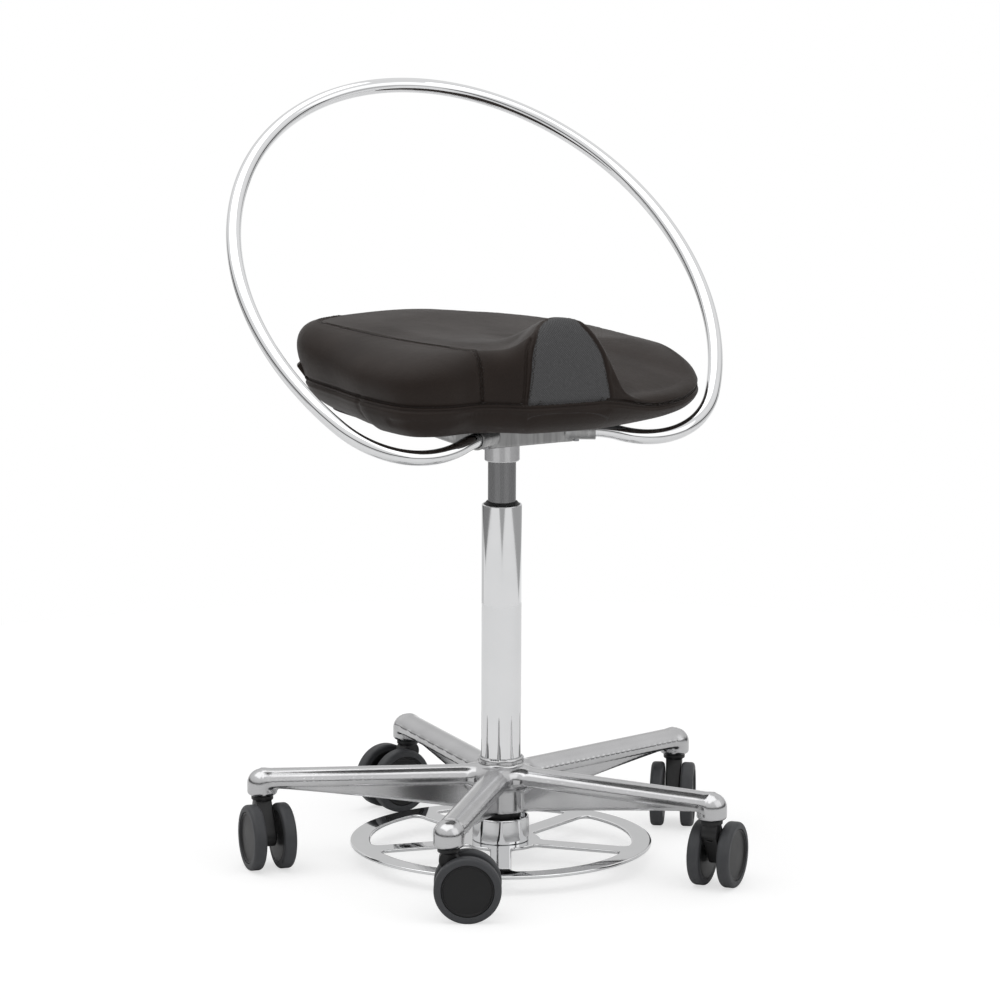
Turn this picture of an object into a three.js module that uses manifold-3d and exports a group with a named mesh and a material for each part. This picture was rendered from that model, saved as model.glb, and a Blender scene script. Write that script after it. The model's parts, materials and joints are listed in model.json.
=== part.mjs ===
// Saddle stool on five castors, with a tilted hoop as arm and back rest and a foot-worked height disc.
// Millimetres, +Z up, the front of the seat towards -Y, the floor at z = 0.
import * as THREE from 'three';
import { mergeVertices } from 'three/addons/utils/BufferGeometryUtils.js';
import Module from 'manifold-3d';

const wasm = await Module();
wasm.setup();

// Gaps and cuts
const GAP = 0.3; // between pieces that touch, seat in or turn in one another
const OVERRUN = 2; // how far a cut runs past the face it opens

// The place of the column axis, in front of the middle of the stool's own box
const AXIS_FORWARD = 17.4;

// Castors: twin wheels with a soft tread on each side of a narrow housing
const TREAD_SIDES = 24;
const WHEEL_RADIUS = 33;
const WHEEL_THICK = 13;
const WHEEL_DISH = 1.5;
const WHEEL_CLEARANCE = 1;
const TREAD_DEPTH = 7;
const TREAD_ROUND = 3;
const CASTOR_TRAIL = 18.4;
const CASTOR_HEADROOM = 5.7; // from the top of the wheels to the boss that they turn under
const CASTOR_HEADINGS_DEG = [236.6, 187, 260.6, 332, 40.8];
const HOUSING_WIDTH = 16;
const HOUSING_COLLAR_RADIUS = 11;
const HOUSING_BACK_HEIGHT = 19;
const HOUSING_FOOT_RADIUS = 10;
const HOUSING_BACK_SHARE = 0.8; // of the collar's radius, behind the stem
const HOUSING_FRONT_SHARE = 0.9; // of the collar's radius, ahead of the stem
const HOUSING_BROW_SHARE = 1.7; // of the foot's radius, above the axle
const STEM_RADIUS = 5.5;
const STEM_IN_BOSS = 18;
const STEM_IN_HOUSING = 21;
const STEM_ROUND = 1.5;
const AXLE_RADIUS = 3;
const AXLE_IN_WHEEL = 8.5;
const AXLE_HEIGHT = WHEEL_RADIUS * Math.cos(Math.PI / TREAD_SIDES);
const WHEEL_INNER_FACE = HOUSING_WIDTH / 2 + WHEEL_CLEARANCE;

// Base: a cast hub with five arms, each a half-round bar over a deeper web
const ARM_COUNT = 5;
const ARM_TURN_DEG = 13.9;
const ARM_REACH = 240;
const ARM_BAR_HEIGHT = 17;
const ARM_BAR_EDGE = 5;
const ARM_WIDTH = 29;
const ARM_WAIST = 3;
const WEB_WIDTH_HUB = 22;
const WEB_WIDTH_TIP = 13;
const WEB_DEPTH_HUB = 35;
const WEB_DEPTH_TIP = 4;
const WEB_SHORT = 14; // from the web's end to the castor's stem
const BOSS_RADIUS = 15;
const BOSS_HEIGHT = 26.3;
const BOSS_ROUND = 12;
const BOSS_BOTTOM = 2 * WHEEL_RADIUS + CASTOR_HEADROOM;
const ARM_TOP = BOSS_BOTTOM + BOSS_HEIGHT;
const HUB_DEPTH = 52; // from the arms' top to the hub's underside
const HUB_COLLAR_HEIGHT = 9; // above the arms' top
const HUB_WALL = 3.5;
const HUB_FLARE_WIDTH = 11.5;
const HUB_FLARE_DROP = 22.5;
const HUB_ROUND = 3;
const HUB_LEDGE = 6;

// Column: outer tube, guide bush and wiper, and the gas spring that slides and turns in them
const TUBE_RADIUS = 20;
const TUBE_WALL = 1.8;
const TUBE_LENGTH = 311.7;
const TUBE_FLOOR = 3;
const TUBE_SHOULDER = 2.5;
const CYLINDER_RADIUS = 14;
const CYLINDER_WALL = 1.9;
const CYLINDER_LENGTH = 298.7;
const CYLINDER_HEAD = 30;
const BUSH_LENGTH = 58;
const WIPER_HEIGHT = 8;
const WIPER_WIDTH = 2.6;
const ROD_RADIUS = 5;
const ROD_BORE_RADIUS = 2.5;
const ROD_LENGTH = 238.7;
const ROD_COLLAR_WIDTH = 4.5;
const ROD_COLLAR_HEIGHT = 4;
const ROD_TAIL = 8; // below the tube's floor
const PISTON_HEIGHT = 12;
const GLAND_HEIGHT = 14;
const BEARING_HEIGHT = 6;
const BEARING_CLEARANCE = 2.2;
const CLIP_WIDTH = 4;
const CLIP_HEIGHT = 2.4;
const CLIP_GROOVE = 1;
const PIN_RADIUS = 2;
const PIN_PROUD = 6; // above the rod's top, inside the piston
const TAPER_COLLAR_WALL = 3.5;
const TAPER_COLLAR_DROP = 25; // below the plate

const HUB_BOTTOM = ARM_TOP - HUB_DEPTH;
const HUB_TOP = ARM_TOP + HUB_COLLAR_HEIGHT;
const HUB_RADIUS = TUBE_RADIUS + HUB_WALL;
const TUBE_BOTTOM = HUB_BOTTOM + HUB_LEDGE + GAP;
const TUBE_TOP = TUBE_BOTTOM + TUBE_LENGTH;
const TUBE_INNER = TUBE_RADIUS - TUBE_WALL;
const CYLINDER_INNER = CYLINDER_RADIUS - CYLINDER_WALL;
const BEARING_BOTTOM = TUBE_BOTTOM + TUBE_FLOOR + GAP;
const ROD_COLLAR_BOTTOM = BEARING_BOTTOM + BEARING_HEIGHT + GAP;
const ROD_BOTTOM = TUBE_BOTTOM - ROD_TAIL;
const ROD_TOP = ROD_BOTTOM + ROD_LENGTH;
const CLIP_RADIUS = ROD_RADIUS + CLIP_WIDTH;
const CLIP_TOP = TUBE_BOTTOM - GAP;
const CLIP_BOTTOM = CLIP_TOP - CLIP_HEIGHT;

// Foot disc: a flat five-spoked plate with a cup that hangs on a flange under the hub
const DISC_RADIUS = 151.5;
const DISC_THICK = 3.5;
const DISC_RIM = 20;
const DISC_SPOKES = 5;
const DISC_TURN_DEG = 26;
const DISC_DROP = 5.3; // below the flange
const SPOKE_WIDTH = 21;
const SLOT_INNER_RADIUS = 40;
const SLOT_CORNER = 9;
const SLOT_ARC_SHARES = [-0.62, -0.31, 0, 0.31, 0.62];
const CUP_WALL = 2;
const CUP_HEIGHT = 17;
const CUP_ROOM = 4.5; // round the flange
const CUP_LEDGE_HEIGHT = 3;
const CUP_LEDGE_ROOM = 5; // round the flange's neck
const FLANGE_RADIUS = 22;
const FLANGE_DROP = 20; // from the hub's underside to the flange's
const FLANGE_HEIGHT = 4;
const FLANGE_NECK_RADIUS = 11;
const FLANGE_HEAD_RADIUS = 20;
const FLANGE_HEAD_HEIGHT = 6;
const FLANGE_BOTTOM = HUB_BOTTOM - FLANGE_DROP;
const DISC_TOP = FLANGE_BOTTOM - DISC_DROP;
const CUP_RADIUS = FLANGE_RADIUS + CUP_ROOM + CUP_WALL;
const CUP_BOTTOM = DISC_TOP + GAP;
const LEDGE_BOTTOM = FLANGE_BOTTOM + FLANGE_HEIGHT + GAP;

// Seat carrier: a cast plate with a socket for the gas spring and two for the hoop's ends
const PLATE_RISE = 69; // above the tube, at the height the seat is set to
const PLATE_HEIGHT = 21.7;
const PLATE_HALF_WIDTH = 66;
const PLATE_FRONT = 61;
const PLATE_BACK = 68;
const PLATE_CORNER = 30;
const EAR_REACH = 97;
const EAR_WIDTH = 44;
const EAR_HEIGHT = 12;
const EAR_END_RADIUS = 12;
const SPRING_SOCKET_DEPTH = 16;
const SOCKET_WALL = 3;
const SOCKET_LENGTH = 30;
const RING_SCREW_RADIUS = 3;
const SEAT_SCREW_RADIUS = 3;
const SEAT_SCREW_HEAD_RADIUS = 5.5;
const SEAT_SCREW_HEAD_HEIGHT = 4;
const SEAT_SCREW_IN_SHELL = 6;
const SEAT_SCREW_INSET = 21; // from the plate's sides and back
const SEAT_SCREW_FRONT_INSET = 36; // from the plate's front, behind the hoop's ends
const PLATE_BOTTOM = TUBE_TOP + PLATE_RISE;
const PLATE_TOP = PLATE_BOTTOM + PLATE_HEIGHT;
const CYLINDER_TOP = PLATE_BOTTOM + SPRING_SOCKET_DEPTH - GAP;
const CYLINDER_BOTTOM = CYLINDER_TOP - CYLINDER_LENGTH;

// Seat: a moulded shell and a cushion that is level on the left and falls away on the right
const SEAT_LEFT = 167;
const SEAT_RIGHT = 197;
const SEAT_FRONT = 142;
const SEAT_BACK = 155;
const SEAT_RISE = 85; // of the level top above the shell's underside
const BACK_RISE = 4;
const SEAM_LEFT_RISE = 34; // above the shell's underside, as the next
const SEAM_RIGHT_RISE = 19.5;
const SEAM_FALL_START = 30;
const SEAM_FALL_END = 115;
const SIDE_FALL = 29;
const SIDE_FALL_LEAD_SHARE = 0.1; // of the right half, where the fall starts left of the middle
const FRONT_FALL = 40;
const FRONT_FALL_START = 20;
const FRONT_FALL_WIDTH = 75;
const POMMEL_RISE = 33;
const POMMEL_SIDE = 5;
const POMMEL_HALF_WIDTH = 43;
const POMMEL_BACK = 15;
const POMMEL_TOP_SHARE = 0.87; // of the seat's front, where the pommel is at its height
const POMMEL_WIDTH_SHARES = [0.8, 1.05]; // of the half width, behind and at the nose
const POMMEL_WIDENS_SHARES = [0.6, 0.9]; // of the seat's front
const POMMEL_RIGHT_SHARE = 0.35; // more of the rise on the right, where the seat falls away under it
const POMMEL_STEEPNESS = 3;
const DISH_DEPTH = 7;
const DISH_RADIUS = 95;
const LEFT_BULGE = 12;
const RIGHT_BULGE = 2;
const RIM_RISE = 1; // above the shell's underside
const RIM_WIDTH = 10;
const RIM_INSET = 24;
const SHELL_THICK = 8;
const SHELL_CLEARANCE = 1.5;
const SHELL_POINTS = 48;
const CHANNEL_DEPTH = 1.6;
const CUSHION_POINTS = 60;
const SEWN_LEFT_SHARE = 1 / 3; // of the seat's left, past which the top's edge is sewn
const SEWN_FRONT_SHARE = 0.8; // of the seat's front, past which the top's edge is sewn
const SHELL_BOTTOM = PLATE_TOP + GAP;
const RIM_HEIGHT = SHELL_BOTTOM + RIM_RISE;

// Hoop: one bent tube, an ellipse in a leaning plane with a rounded lobe at each lower end
const RING_TUBE_RADIUS = 7.5;
const RING_TO_SEAT = 46.5; // from the seat's right side to the tube
const RING_HALF_WIDTH = SEAT_RIGHT + RING_TO_SEAT + RING_TUBE_RADIUS;
const RING_HALF_HEIGHT = 269;
const RING_LEAN_DEG = 46.7;
const RING_MIDDLE_BACK = 55;
const RING_MIDDLE_RISE = 137; // above the plate's underside
const LOBE_RADIUS = 95.4;
const LOBE_START_DEG = -34.3;
const LOBE_END_DEG = -115;
const RING_END_INSET = 22; // from the plate's side
const RING_END_FRONT_INSET = 4; // from the plate's front
const RING_END_RISE = 12.5; // above the plate's underside
const RING_END_TURN_DEG = 149;
const RING_STEPS = 80;
const RING_SIDES = 10;
const ELLIPSE_STEPS = 22;
const LOBE_STEPS = 8;
const BEND_STEPS = 5;
const BEND_PULL_SHARE = 1 / 3; // of the way from the lobe to the end
const RING_END_HEIGHT = PLATE_BOTTOM + RING_END_RISE;
const RING_SCREW_TOP = RING_END_HEIGHT - RING_TUBE_RADIUS - GAP;

// Shares of the seat's half sizes, all the way round: [seam side, seam depth, top edge side, top edge depth]
const SEAT_OUTLINE_SHARES = [
  [-1, 0.63, -0.82, 0.63], [-1.005, 0.19, -0.75, 0.23], [-1, -0.225, -0.67, -0.176],
  [-0.91, -0.64, -0.587, -0.493], [-0.695, -0.775, -0.55, -0.62], [-0.503, -0.768, -0.503, -0.69],
  [-0.371, -0.845, -0.347, -0.76], [-0.251, -0.951, -0.216, -0.86], [0, -1, 0, -0.873],
  [0.213, -1.007, 0.168, -0.88], [0.345, -0.965, 0.295, -0.894], [0.508, -0.887, 0.467, -0.817],
  [0.711, -0.761, 0.665, -0.69], [0.888, -0.563, 0.832, -0.507], [0.99, -0.282, 0.934, -0.254],
  [1, 0.097, 0.944, 0.09], [0.954, 0.452, 0.898, 0.426], [0.838, 0.761, 0.787, 0.703],
  [0.635, 0.942, 0.599, 0.871], [0.355, 1, 0.335, 0.923], [0, 1.006, 0, 0.929],
  [-0.419, 0.98, -0.383, 0.897], [-0.749, 0.89, -0.67, 0.8], [-0.928, 0.787, -0.79, 0.723],
];
// Rings of the cushion: [share of the inset drawn in, share of the way from the rim up to the seam]
const SKIRT_SHARES = [[1, 0], [1 / 3, 0.28], [0, 0.6]];
const SKIRT_SWELL_SHARE = 0.85; // of the way up, where the skirt swells over the seam
const WALL_SHARES = [0.3, 0.6, 0.85];
const TOP_RING_SHARES = [0.89, 0.75, 0.57, 0.37, 0.17];

const RADIANS = Math.PI / 180;

// Finishes
function finish(color, roughness, metalness) {
  return new THREE.MeshStandardMaterial({ color, roughness, metalness });
}

const FINISHES = {
  polishedAluminium: finish(0xd4d5d6, 0.16, 1),
  castAluminium: finish(0xb9babc, 0.4, 1),
  chrome: finish(0xdcdddf, 0.07, 1),
  satinSteel: finish(0x77787a, 0.32, 1),
  plainSteel: finish(0x9b9da0, 0.35, 1),
  blackPlastic: finish(0x1b1b1c, 0.5, 0),
  whiteAcetal: finish(0xe6e4de, 0.45, 0),
  blackRubber: finish(0x161616, 0.8, 0),
  greyTread: finish(0x5d5e61, 0.65, 0),
  wheelNylon: finish(0x2b2c2e, 0.5, 0),
  leather: finish(0x2a2725, 0.45, 0),
};

// Closed-mesh helpers

function signedVolume(positions, indices) {
  const [a, b, c] = [new THREE.Vector3(), new THREE.Vector3(), new THREE.Vector3()];
  let volume = 0;
  for (let i = 0; i < indices.length; i += 3) {
    a.fromBufferAttribute(positions, indices[i]);
    b.fromBufferAttribute(positions, indices[i + 1]);
    c.fromBufferAttribute(positions, indices[i + 2]);
    volume += a.dot(b.cross(c));
  }
  return volume;
}

// Joins shared vertices, drops triangles without area and turns all faces outwards.
function closed(geometry) {
  const bare = geometry.clone();
  bare.deleteAttribute('normal');
  bare.deleteAttribute('uv');
  const merged = mergeVertices(bare);
  const source = merged.index.array;
  const kept = [];
  for (let i = 0; i < source.length; i += 3) {
    const [a, b, c] = [source[i], source[i + 1], source[i + 2]];
    if (a !== b && b !== c && c !== a) kept.push(a, b, c);
  }
  if (signedVolume(merged.attributes.position, kept) < 0) kept.reverse();
  merged.setIndex(kept);
  return merged;
}

function toManifold(geometry) {
  const body = closed(geometry);
  return new wasm.Manifold(new wasm.Mesh({
    numProp: 3,
    vertProperties: new Float32Array(body.attributes.position.array),
    triVerts: new Uint32Array(body.index.array),
  }));
}

function fromManifold(manifold) {
  const mesh = manifold.getMesh();
  const geometry = new THREE.BufferGeometry();
  geometry.setAttribute('position', new THREE.BufferAttribute(mesh.vertProperties, 3));
  geometry.setIndex([...mesh.triVerts]);
  return geometry;
}

function cut(geometry, ...tools) {
  return fromManifold(tools.reduce((body, tool) => body.subtract(toManifold(tool)), toManifold(geometry)));
}

function join(first, ...others) {
  return fromManifold(others.reduce((body, other) => body.add(toManifold(other)), toManifold(first)));
}

// A round solid about +Z from [radius, height] points that start and end on the axis or close on themselves.
function turned(points, sides = 28) {
  const profile = points.map(([radius, height]) => new THREE.Vector2(radius, height));
  return new THREE.LatheGeometry(profile, sides).rotateX(Math.PI / 2);
}

function disc(radius, bottom, top, sides = 28) {
  return turned([[0, bottom], [radius, bottom], [radius, top], [0, top]], sides);
}

function sleeve(innerRadius, outerRadius, bottom, top, sides = 28) {
  return turned([
    [innerRadius, bottom], [outerRadius, bottom], [outerRadius, top], [innerRadius, top],
    [innerRadius, bottom],
  ], sides);
}

// Skins rings of equal point counts one after another and closes both ends with a fan to a given middle.
function lofted(rings, firstMiddle, lastMiddle) {
  const count = rings[0].length;
  const positions = [];
  const indices = [];
  for (const ring of rings) for (const point of ring) positions.push(point.x, point.y, point.z);
  positions.push(firstMiddle.x, firstMiddle.y, firstMiddle.z, lastMiddle.x, lastMiddle.y, lastMiddle.z);
  const [first, last] = [rings.length * count, rings.length * count + 1];
  for (let i = 0; i < count; i += 1) {
    const next = (i + 1) % count;
    for (let row = 0; row + 1 < rings.length; row += 1) {
      const [low, high] = [row * count, (row + 1) * count];
      indices.push(low + i, low + next, high + next, low + i, high + next, high + i);
    }
    indices.push(first, next, i);
    indices.push(last, last - 1 - count + i, last - 1 - count + next);
  }
  const geometry = new THREE.BufferGeometry();
  geometry.setAttribute('position', new THREE.Float32BufferAttribute(positions, 3));
  geometry.setIndex(indices);
  return geometry;
}

function middleOf(ring) {
  const sum = ring.reduce((total, point) => total.add(point), new THREE.Vector3());
  return sum.divideScalar(ring.length);
}

// An upright plate of a plan outline.
function plate(points, bottom, height) {
  const shape = new THREE.Shape(points.map(([x, y]) => new THREE.Vector2(x, y)));
  return new THREE.ExtrudeGeometry(shape, { depth: height, bevelEnabled: false }).translate(0, 0, bottom);
}

// Points of a polygon with every corner rounded: corners are [x, y, radius].
function roundedOutline(corners, arcSteps = 4) {
  const points = [];
  corners.forEach(([x, y, radius], i) => {
    const corner = new THREE.Vector2(x, y);
    const back = new THREE.Vector2(...corners.at(i - 1).slice(0, 2)).sub(corner).normalize();
    const ahead = new THREE.Vector2(...corners[(i + 1) % corners.length].slice(0, 2)).sub(corner).normalize();
    const reach = radius / Math.tan(Math.acos(back.dot(ahead)) / 2);
    const curve = new THREE.QuadraticBezierCurve(
      corner.clone().addScaledVector(back, reach), corner, corner.clone().addScaledVector(ahead, reach),
    );
    for (const point of curve.getPoints(arcSteps)) points.push([point.x, point.y]);
  });
  return points;
}

const smooth = (from, to, value) => THREE.MathUtils.smoothstep(value, from, to);
const lerp = THREE.MathUtils.lerp;

// Base

function armRing(distance) {
  const webEnd = ARM_REACH - WEB_SHORT;
  const along = THREE.MathUtils.clamp((distance - HUB_RADIUS) / (webEnd - HUB_RADIUS), 0, 1);
  const halfBar = ARM_WIDTH / 2;
  const halfWeb = lerp(WEB_WIDTH_HUB, WEB_WIDTH_TIP, along) / 2;
  const barBottom = ARM_TOP - ARM_BAR_HEIGHT;
  const webBottom = barBottom - lerp(WEB_DEPTH_HUB, WEB_DEPTH_TIP, along);
  const ring = [];
  const arcSteps = 6;
  for (let i = 0; i <= arcSteps; i += 1) {
    const angle = (i / arcSteps) * Math.PI;
    const rise = (ARM_BAR_HEIGHT - ARM_BAR_EDGE) * Math.sin(angle);
    ring.push([halfBar * Math.cos(angle), barBottom + ARM_BAR_EDGE + rise]);
  }
  ring.push([-halfBar, barBottom], [-halfWeb, barBottom - ARM_WAIST], [-halfWeb, webBottom + ARM_WAIST / 2]);
  ring.push([-halfWeb / 2, webBottom], [halfWeb / 2, webBottom], [halfWeb, webBottom + ARM_WAIST / 2]);
  ring.push([halfWeb, barBottom - ARM_WAIST], [halfBar, barBottom]);
  return ring.map(([side, height]) => new THREE.Vector3(distance, side, height));
}

function armGeometry() {
  const rings = [0, HUB_RADIUS, ARM_REACH - WEB_SHORT, ARM_REACH].map(armRing);
  const profile = [[0, BOSS_BOTTOM], [BOSS_RADIUS, BOSS_BOTTOM]];
  const domeSteps = 3;
  for (let i = 0; i < domeSteps; i += 1) {
    const angle = (i / domeSteps) * (Math.PI / 2);
    profile.push([BOSS_RADIUS * Math.cos(angle), ARM_TOP - BOSS_ROUND * (1 - Math.sin(angle))]);
  }
  const boss = turned([...profile, [0, ARM_TOP]], 16).translate(ARM_REACH, 0, 0);
  return join(lofted(rings, middleOf(rings[0]), middleOf(rings.at(-1))), boss);
}

const armAngle = (index) => (ARM_TURN_DEG + (index * 360) / ARM_COUNT) * RADIANS;

function baseSpider() {
  const flareRadius = HUB_RADIUS + HUB_FLARE_WIDTH;
  const hub = turned([
    [0, HUB_BOTTOM], [HUB_RADIUS, HUB_BOTTOM], [HUB_RADIUS, HUB_BOTTOM + HUB_ROUND],
    [flareRadius, ARM_TOP - HUB_FLARE_DROP], [flareRadius, ARM_TOP - ARM_BAR_EDGE],
    [HUB_RADIUS + HUB_ROUND, ARM_TOP], [HUB_RADIUS, ARM_TOP + HUB_ROUND], [HUB_RADIUS, HUB_TOP - HUB_ROUND],
    [HUB_RADIUS - HUB_ROUND / 2, HUB_TOP], [0, HUB_TOP],
  ]);
  const arm = armGeometry();
  const arms = [];
  const bores = [
    disc(TUBE_RADIUS + GAP, HUB_BOTTOM + HUB_LEDGE, HUB_TOP + OVERRUN),
    disc(CLIP_RADIUS + HUB_ROUND, HUB_BOTTOM - OVERRUN, HUB_BOTTOM + HUB_LEDGE + OVERRUN, 24),
  ];
  for (let i = 0; i < ARM_COUNT; i += 1) {
    arms.push(arm.clone().rotateZ(armAngle(i)));
    const bore = disc(STEM_RADIUS + GAP, BOSS_BOTTOM - OVERRUN, BOSS_BOTTOM + STEM_IN_BOSS + GAP, 12);
    bores.push(bore.translate(ARM_REACH, 0, 0).rotateZ(armAngle(i)));
  }
  return cut(join(hub, ...arms), ...bores);
}

// Column

function columnTube() {
  const floorHole = ROD_RADIUS + 2 * GAP;
  return turned([
    [floorHole, TUBE_BOTTOM], [TUBE_RADIUS, TUBE_BOTTOM], [TUBE_RADIUS, TUBE_TOP - TUBE_SHOULDER],
    [TUBE_RADIUS - TUBE_SHOULDER / 3, TUBE_TOP - TUBE_SHOULDER / 3], [TUBE_INNER, TUBE_TOP],
    [TUBE_INNER, TUBE_BOTTOM + TUBE_FLOOR], [floorHole, TUBE_BOTTOM + TUBE_FLOOR], [floorHole, TUBE_BOTTOM],
  ]);
}

const WIPER_BOTTOM = TUBE_TOP - WIPER_HEIGHT + WIPER_WIDTH;

function wiperSeal() {
  const inner = CYLINDER_RADIUS + GAP;
  const outer = TUBE_INNER - GAP;
  return turned([
    [inner, WIPER_BOTTOM], [outer, WIPER_BOTTOM], [outer, TUBE_TOP],
    [inner + WIPER_WIDTH / 2, TUBE_TOP + WIPER_WIDTH], [inner, TUBE_TOP + WIPER_WIDTH], [inner, WIPER_BOTTOM],
  ]);
}

function guideBush() {
  const top = WIPER_BOTTOM - GAP;
  return sleeve(CYLINDER_RADIUS + GAP, TUBE_INNER - GAP, top - BUSH_LENGTH, top);
}

function thrustBearing() {
  const radius = TUBE_INNER - BEARING_CLEARANCE;
  return sleeve(ROD_RADIUS + GAP, radius, BEARING_BOTTOM, BEARING_BOTTOM + BEARING_HEIGHT, 24);
}

function pistonRod() {
  const grooveTop = CLIP_TOP + GAP / 3;
  const grooveBottom = CLIP_BOTTOM - GAP;
  const grooveRadius = ROD_RADIUS - CLIP_GROOVE;
  const collarRadius = ROD_RADIUS + ROD_COLLAR_WIDTH;
  const collarTop = ROD_COLLAR_BOTTOM + ROD_COLLAR_HEIGHT;
  return turned([
    [ROD_BORE_RADIUS, ROD_BOTTOM], [ROD_RADIUS, ROD_BOTTOM], [ROD_RADIUS, grooveBottom],
    [grooveRadius, grooveBottom], [grooveRadius, grooveTop], [ROD_RADIUS, grooveTop],
    [ROD_RADIUS, ROD_COLLAR_BOTTOM], [collarRadius, ROD_COLLAR_BOTTOM], [collarRadius, collarTop],
    [ROD_RADIUS, collarTop], [ROD_RADIUS, ROD_TOP], [ROD_BORE_RADIUS, ROD_TOP], [ROD_BORE_RADIUS, ROD_BOTTOM],
  ], 14);
}

function rodClip() {
  return sleeve(ROD_RADIUS - CLIP_GROOVE + GAP, CLIP_RADIUS, CLIP_BOTTOM, CLIP_TOP, 20);
}

function piston() {
  const bottom = ROD_TOP + GAP;
  return sleeve(ROD_BORE_RADIUS, CYLINDER_INNER - GAP, bottom, bottom + PISTON_HEIGHT, 24);
}

function gasCylinder() {
  const headBottom = CYLINDER_TOP - CYLINDER_HEAD;
  return turned([
    [0, headBottom], [CYLINDER_INNER, headBottom], [CYLINDER_INNER, CYLINDER_BOTTOM],
    [CYLINDER_RADIUS, CYLINDER_BOTTOM], [CYLINDER_RADIUS, CYLINDER_TOP], [0, CYLINDER_TOP],
  ]);
}

function rodGland() {
  const bottom = CYLINDER_BOTTOM + CYLINDER_WALL;
  return sleeve(ROD_RADIUS + GAP, CYLINDER_INNER - GAP, bottom, bottom + GLAND_HEIGHT, 24);
}

function taperCollar() {
  const outer = CYLINDER_RADIUS + TAPER_COLLAR_WALL;
  return sleeve(CYLINDER_RADIUS + GAP, outer, PLATE_BOTTOM - TAPER_COLLAR_DROP, PLATE_BOTTOM - GAP);
}

// Foot disc

function slotOutline(middleAngle) {
  const halfTurn = Math.PI / DISC_SPOKES;
  const outerRadius = DISC_RADIUS - DISC_RIM;
  const edgeAngle = (radius) => halfTurn - Math.asin(SPOKE_WIDTH / 2 / radius);
  const at = (radius, angle, corner) => [
    radius * Math.cos(middleAngle + angle), radius * Math.sin(middleAngle + angle), corner,
  ];
  const [outerEdge, innerEdge] = [edgeAngle(outerRadius), edgeAngle(SLOT_INNER_RADIUS)];
  return [
    at(outerRadius, -outerEdge, SLOT_CORNER),
    ...SLOT_ARC_SHARES.map((share) => at(outerRadius, outerEdge * share, SLOT_CORNER * 2)),
    at(outerRadius, outerEdge, SLOT_CORNER),
    at(SLOT_INNER_RADIUS, innerEdge, SLOT_CORNER / 2),
    at(SLOT_INNER_RADIUS, -innerEdge, SLOT_CORNER / 2),
  ];
}

function footDisc() {
  const spokeStep = (2 * Math.PI) / DISC_SPOKES;
  const bottom = DISC_TOP - DISC_THICK;
  const slots = [];
  for (let i = 0; i < DISC_SPOKES; i += 1) {
    const corners = slotOutline(DISC_TURN_DEG * RADIANS + (i + 0.5) * spokeStep);
    slots.push(plate(roundedOutline(corners, 2), bottom - OVERRUN, DISC_THICK + 2 * OVERRUN));
  }
  const edge = DISC_THICK / 4;
  const blank = turned([
    [0, bottom], [DISC_RADIUS - edge, bottom], [DISC_RADIUS, bottom + edge], [DISC_RADIUS, DISC_TOP - edge],
    [DISC_RADIUS - edge, DISC_TOP], [0, DISC_TOP],
  ], 48);
  return cut(blank, ...slots);
}

function footCup() {
  const inner = CUP_RADIUS - CUP_WALL;
  const top = CUP_BOTTOM + CUP_HEIGHT;
  const ledgeRadius = FLANGE_NECK_RADIUS + CUP_LEDGE_ROOM;
  const ledgeTop = LEDGE_BOTTOM + CUP_LEDGE_HEIGHT;
  return turned([
    [inner, CUP_BOTTOM], [CUP_RADIUS, CUP_BOTTOM], [CUP_RADIUS, top - CUP_WALL],
    [CUP_RADIUS - CUP_WALL / 2, top], [inner, top], [inner, ledgeTop], [ledgeRadius, ledgeTop],
    [ledgeRadius, LEDGE_BOTTOM], [inner, LEDGE_BOTTOM], [inner, CUP_BOTTOM],
  ]);
}

function releaseFlange() {
  const bore = PIN_RADIUS + GAP;
  const rodBore = ROD_RADIUS + 2 * GAP;
  const rodBoreBottom = ROD_BOTTOM - GAP;
  const top = HUB_BOTTOM - GAP;
  return turned([
    [bore, FLANGE_BOTTOM], [FLANGE_RADIUS, FLANGE_BOTTOM], [FLANGE_RADIUS, FLANGE_BOTTOM + FLANGE_HEIGHT],
    [FLANGE_NECK_RADIUS, FLANGE_BOTTOM + FLANGE_HEIGHT], [FLANGE_NECK_RADIUS, top - FLANGE_HEAD_HEIGHT],
    [FLANGE_HEAD_RADIUS, top - FLANGE_HEAD_HEIGHT], [FLANGE_HEAD_RADIUS, top],
    [rodBore, top], [rodBore, rodBoreBottom], [bore, rodBoreBottom], [bore, FLANGE_BOTTOM],
  ], 20);
}

function releasePin() {
  return disc(PIN_RADIUS, CUP_BOTTOM, ROD_TOP + PIN_PROUD, 12);
}

// Castors, each in a frame with its stem on the z axis and its trail along +X

const HOUSING_TOP = BOSS_BOTTOM - GAP;
const STEM_BOTTOM = HOUSING_TOP - STEM_IN_HOUSING;

function castorStem() {
  const top = BOSS_BOTTOM + STEM_IN_BOSS;
  return turned([
    [0, STEM_BOTTOM], [STEM_RADIUS - STEM_ROUND, STEM_BOTTOM], [STEM_RADIUS, STEM_BOTTOM + STEM_ROUND],
    [STEM_RADIUS, top - STEM_ROUND], [STEM_RADIUS - STEM_ROUND, top], [0, top],
  ], 12);
}

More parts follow.
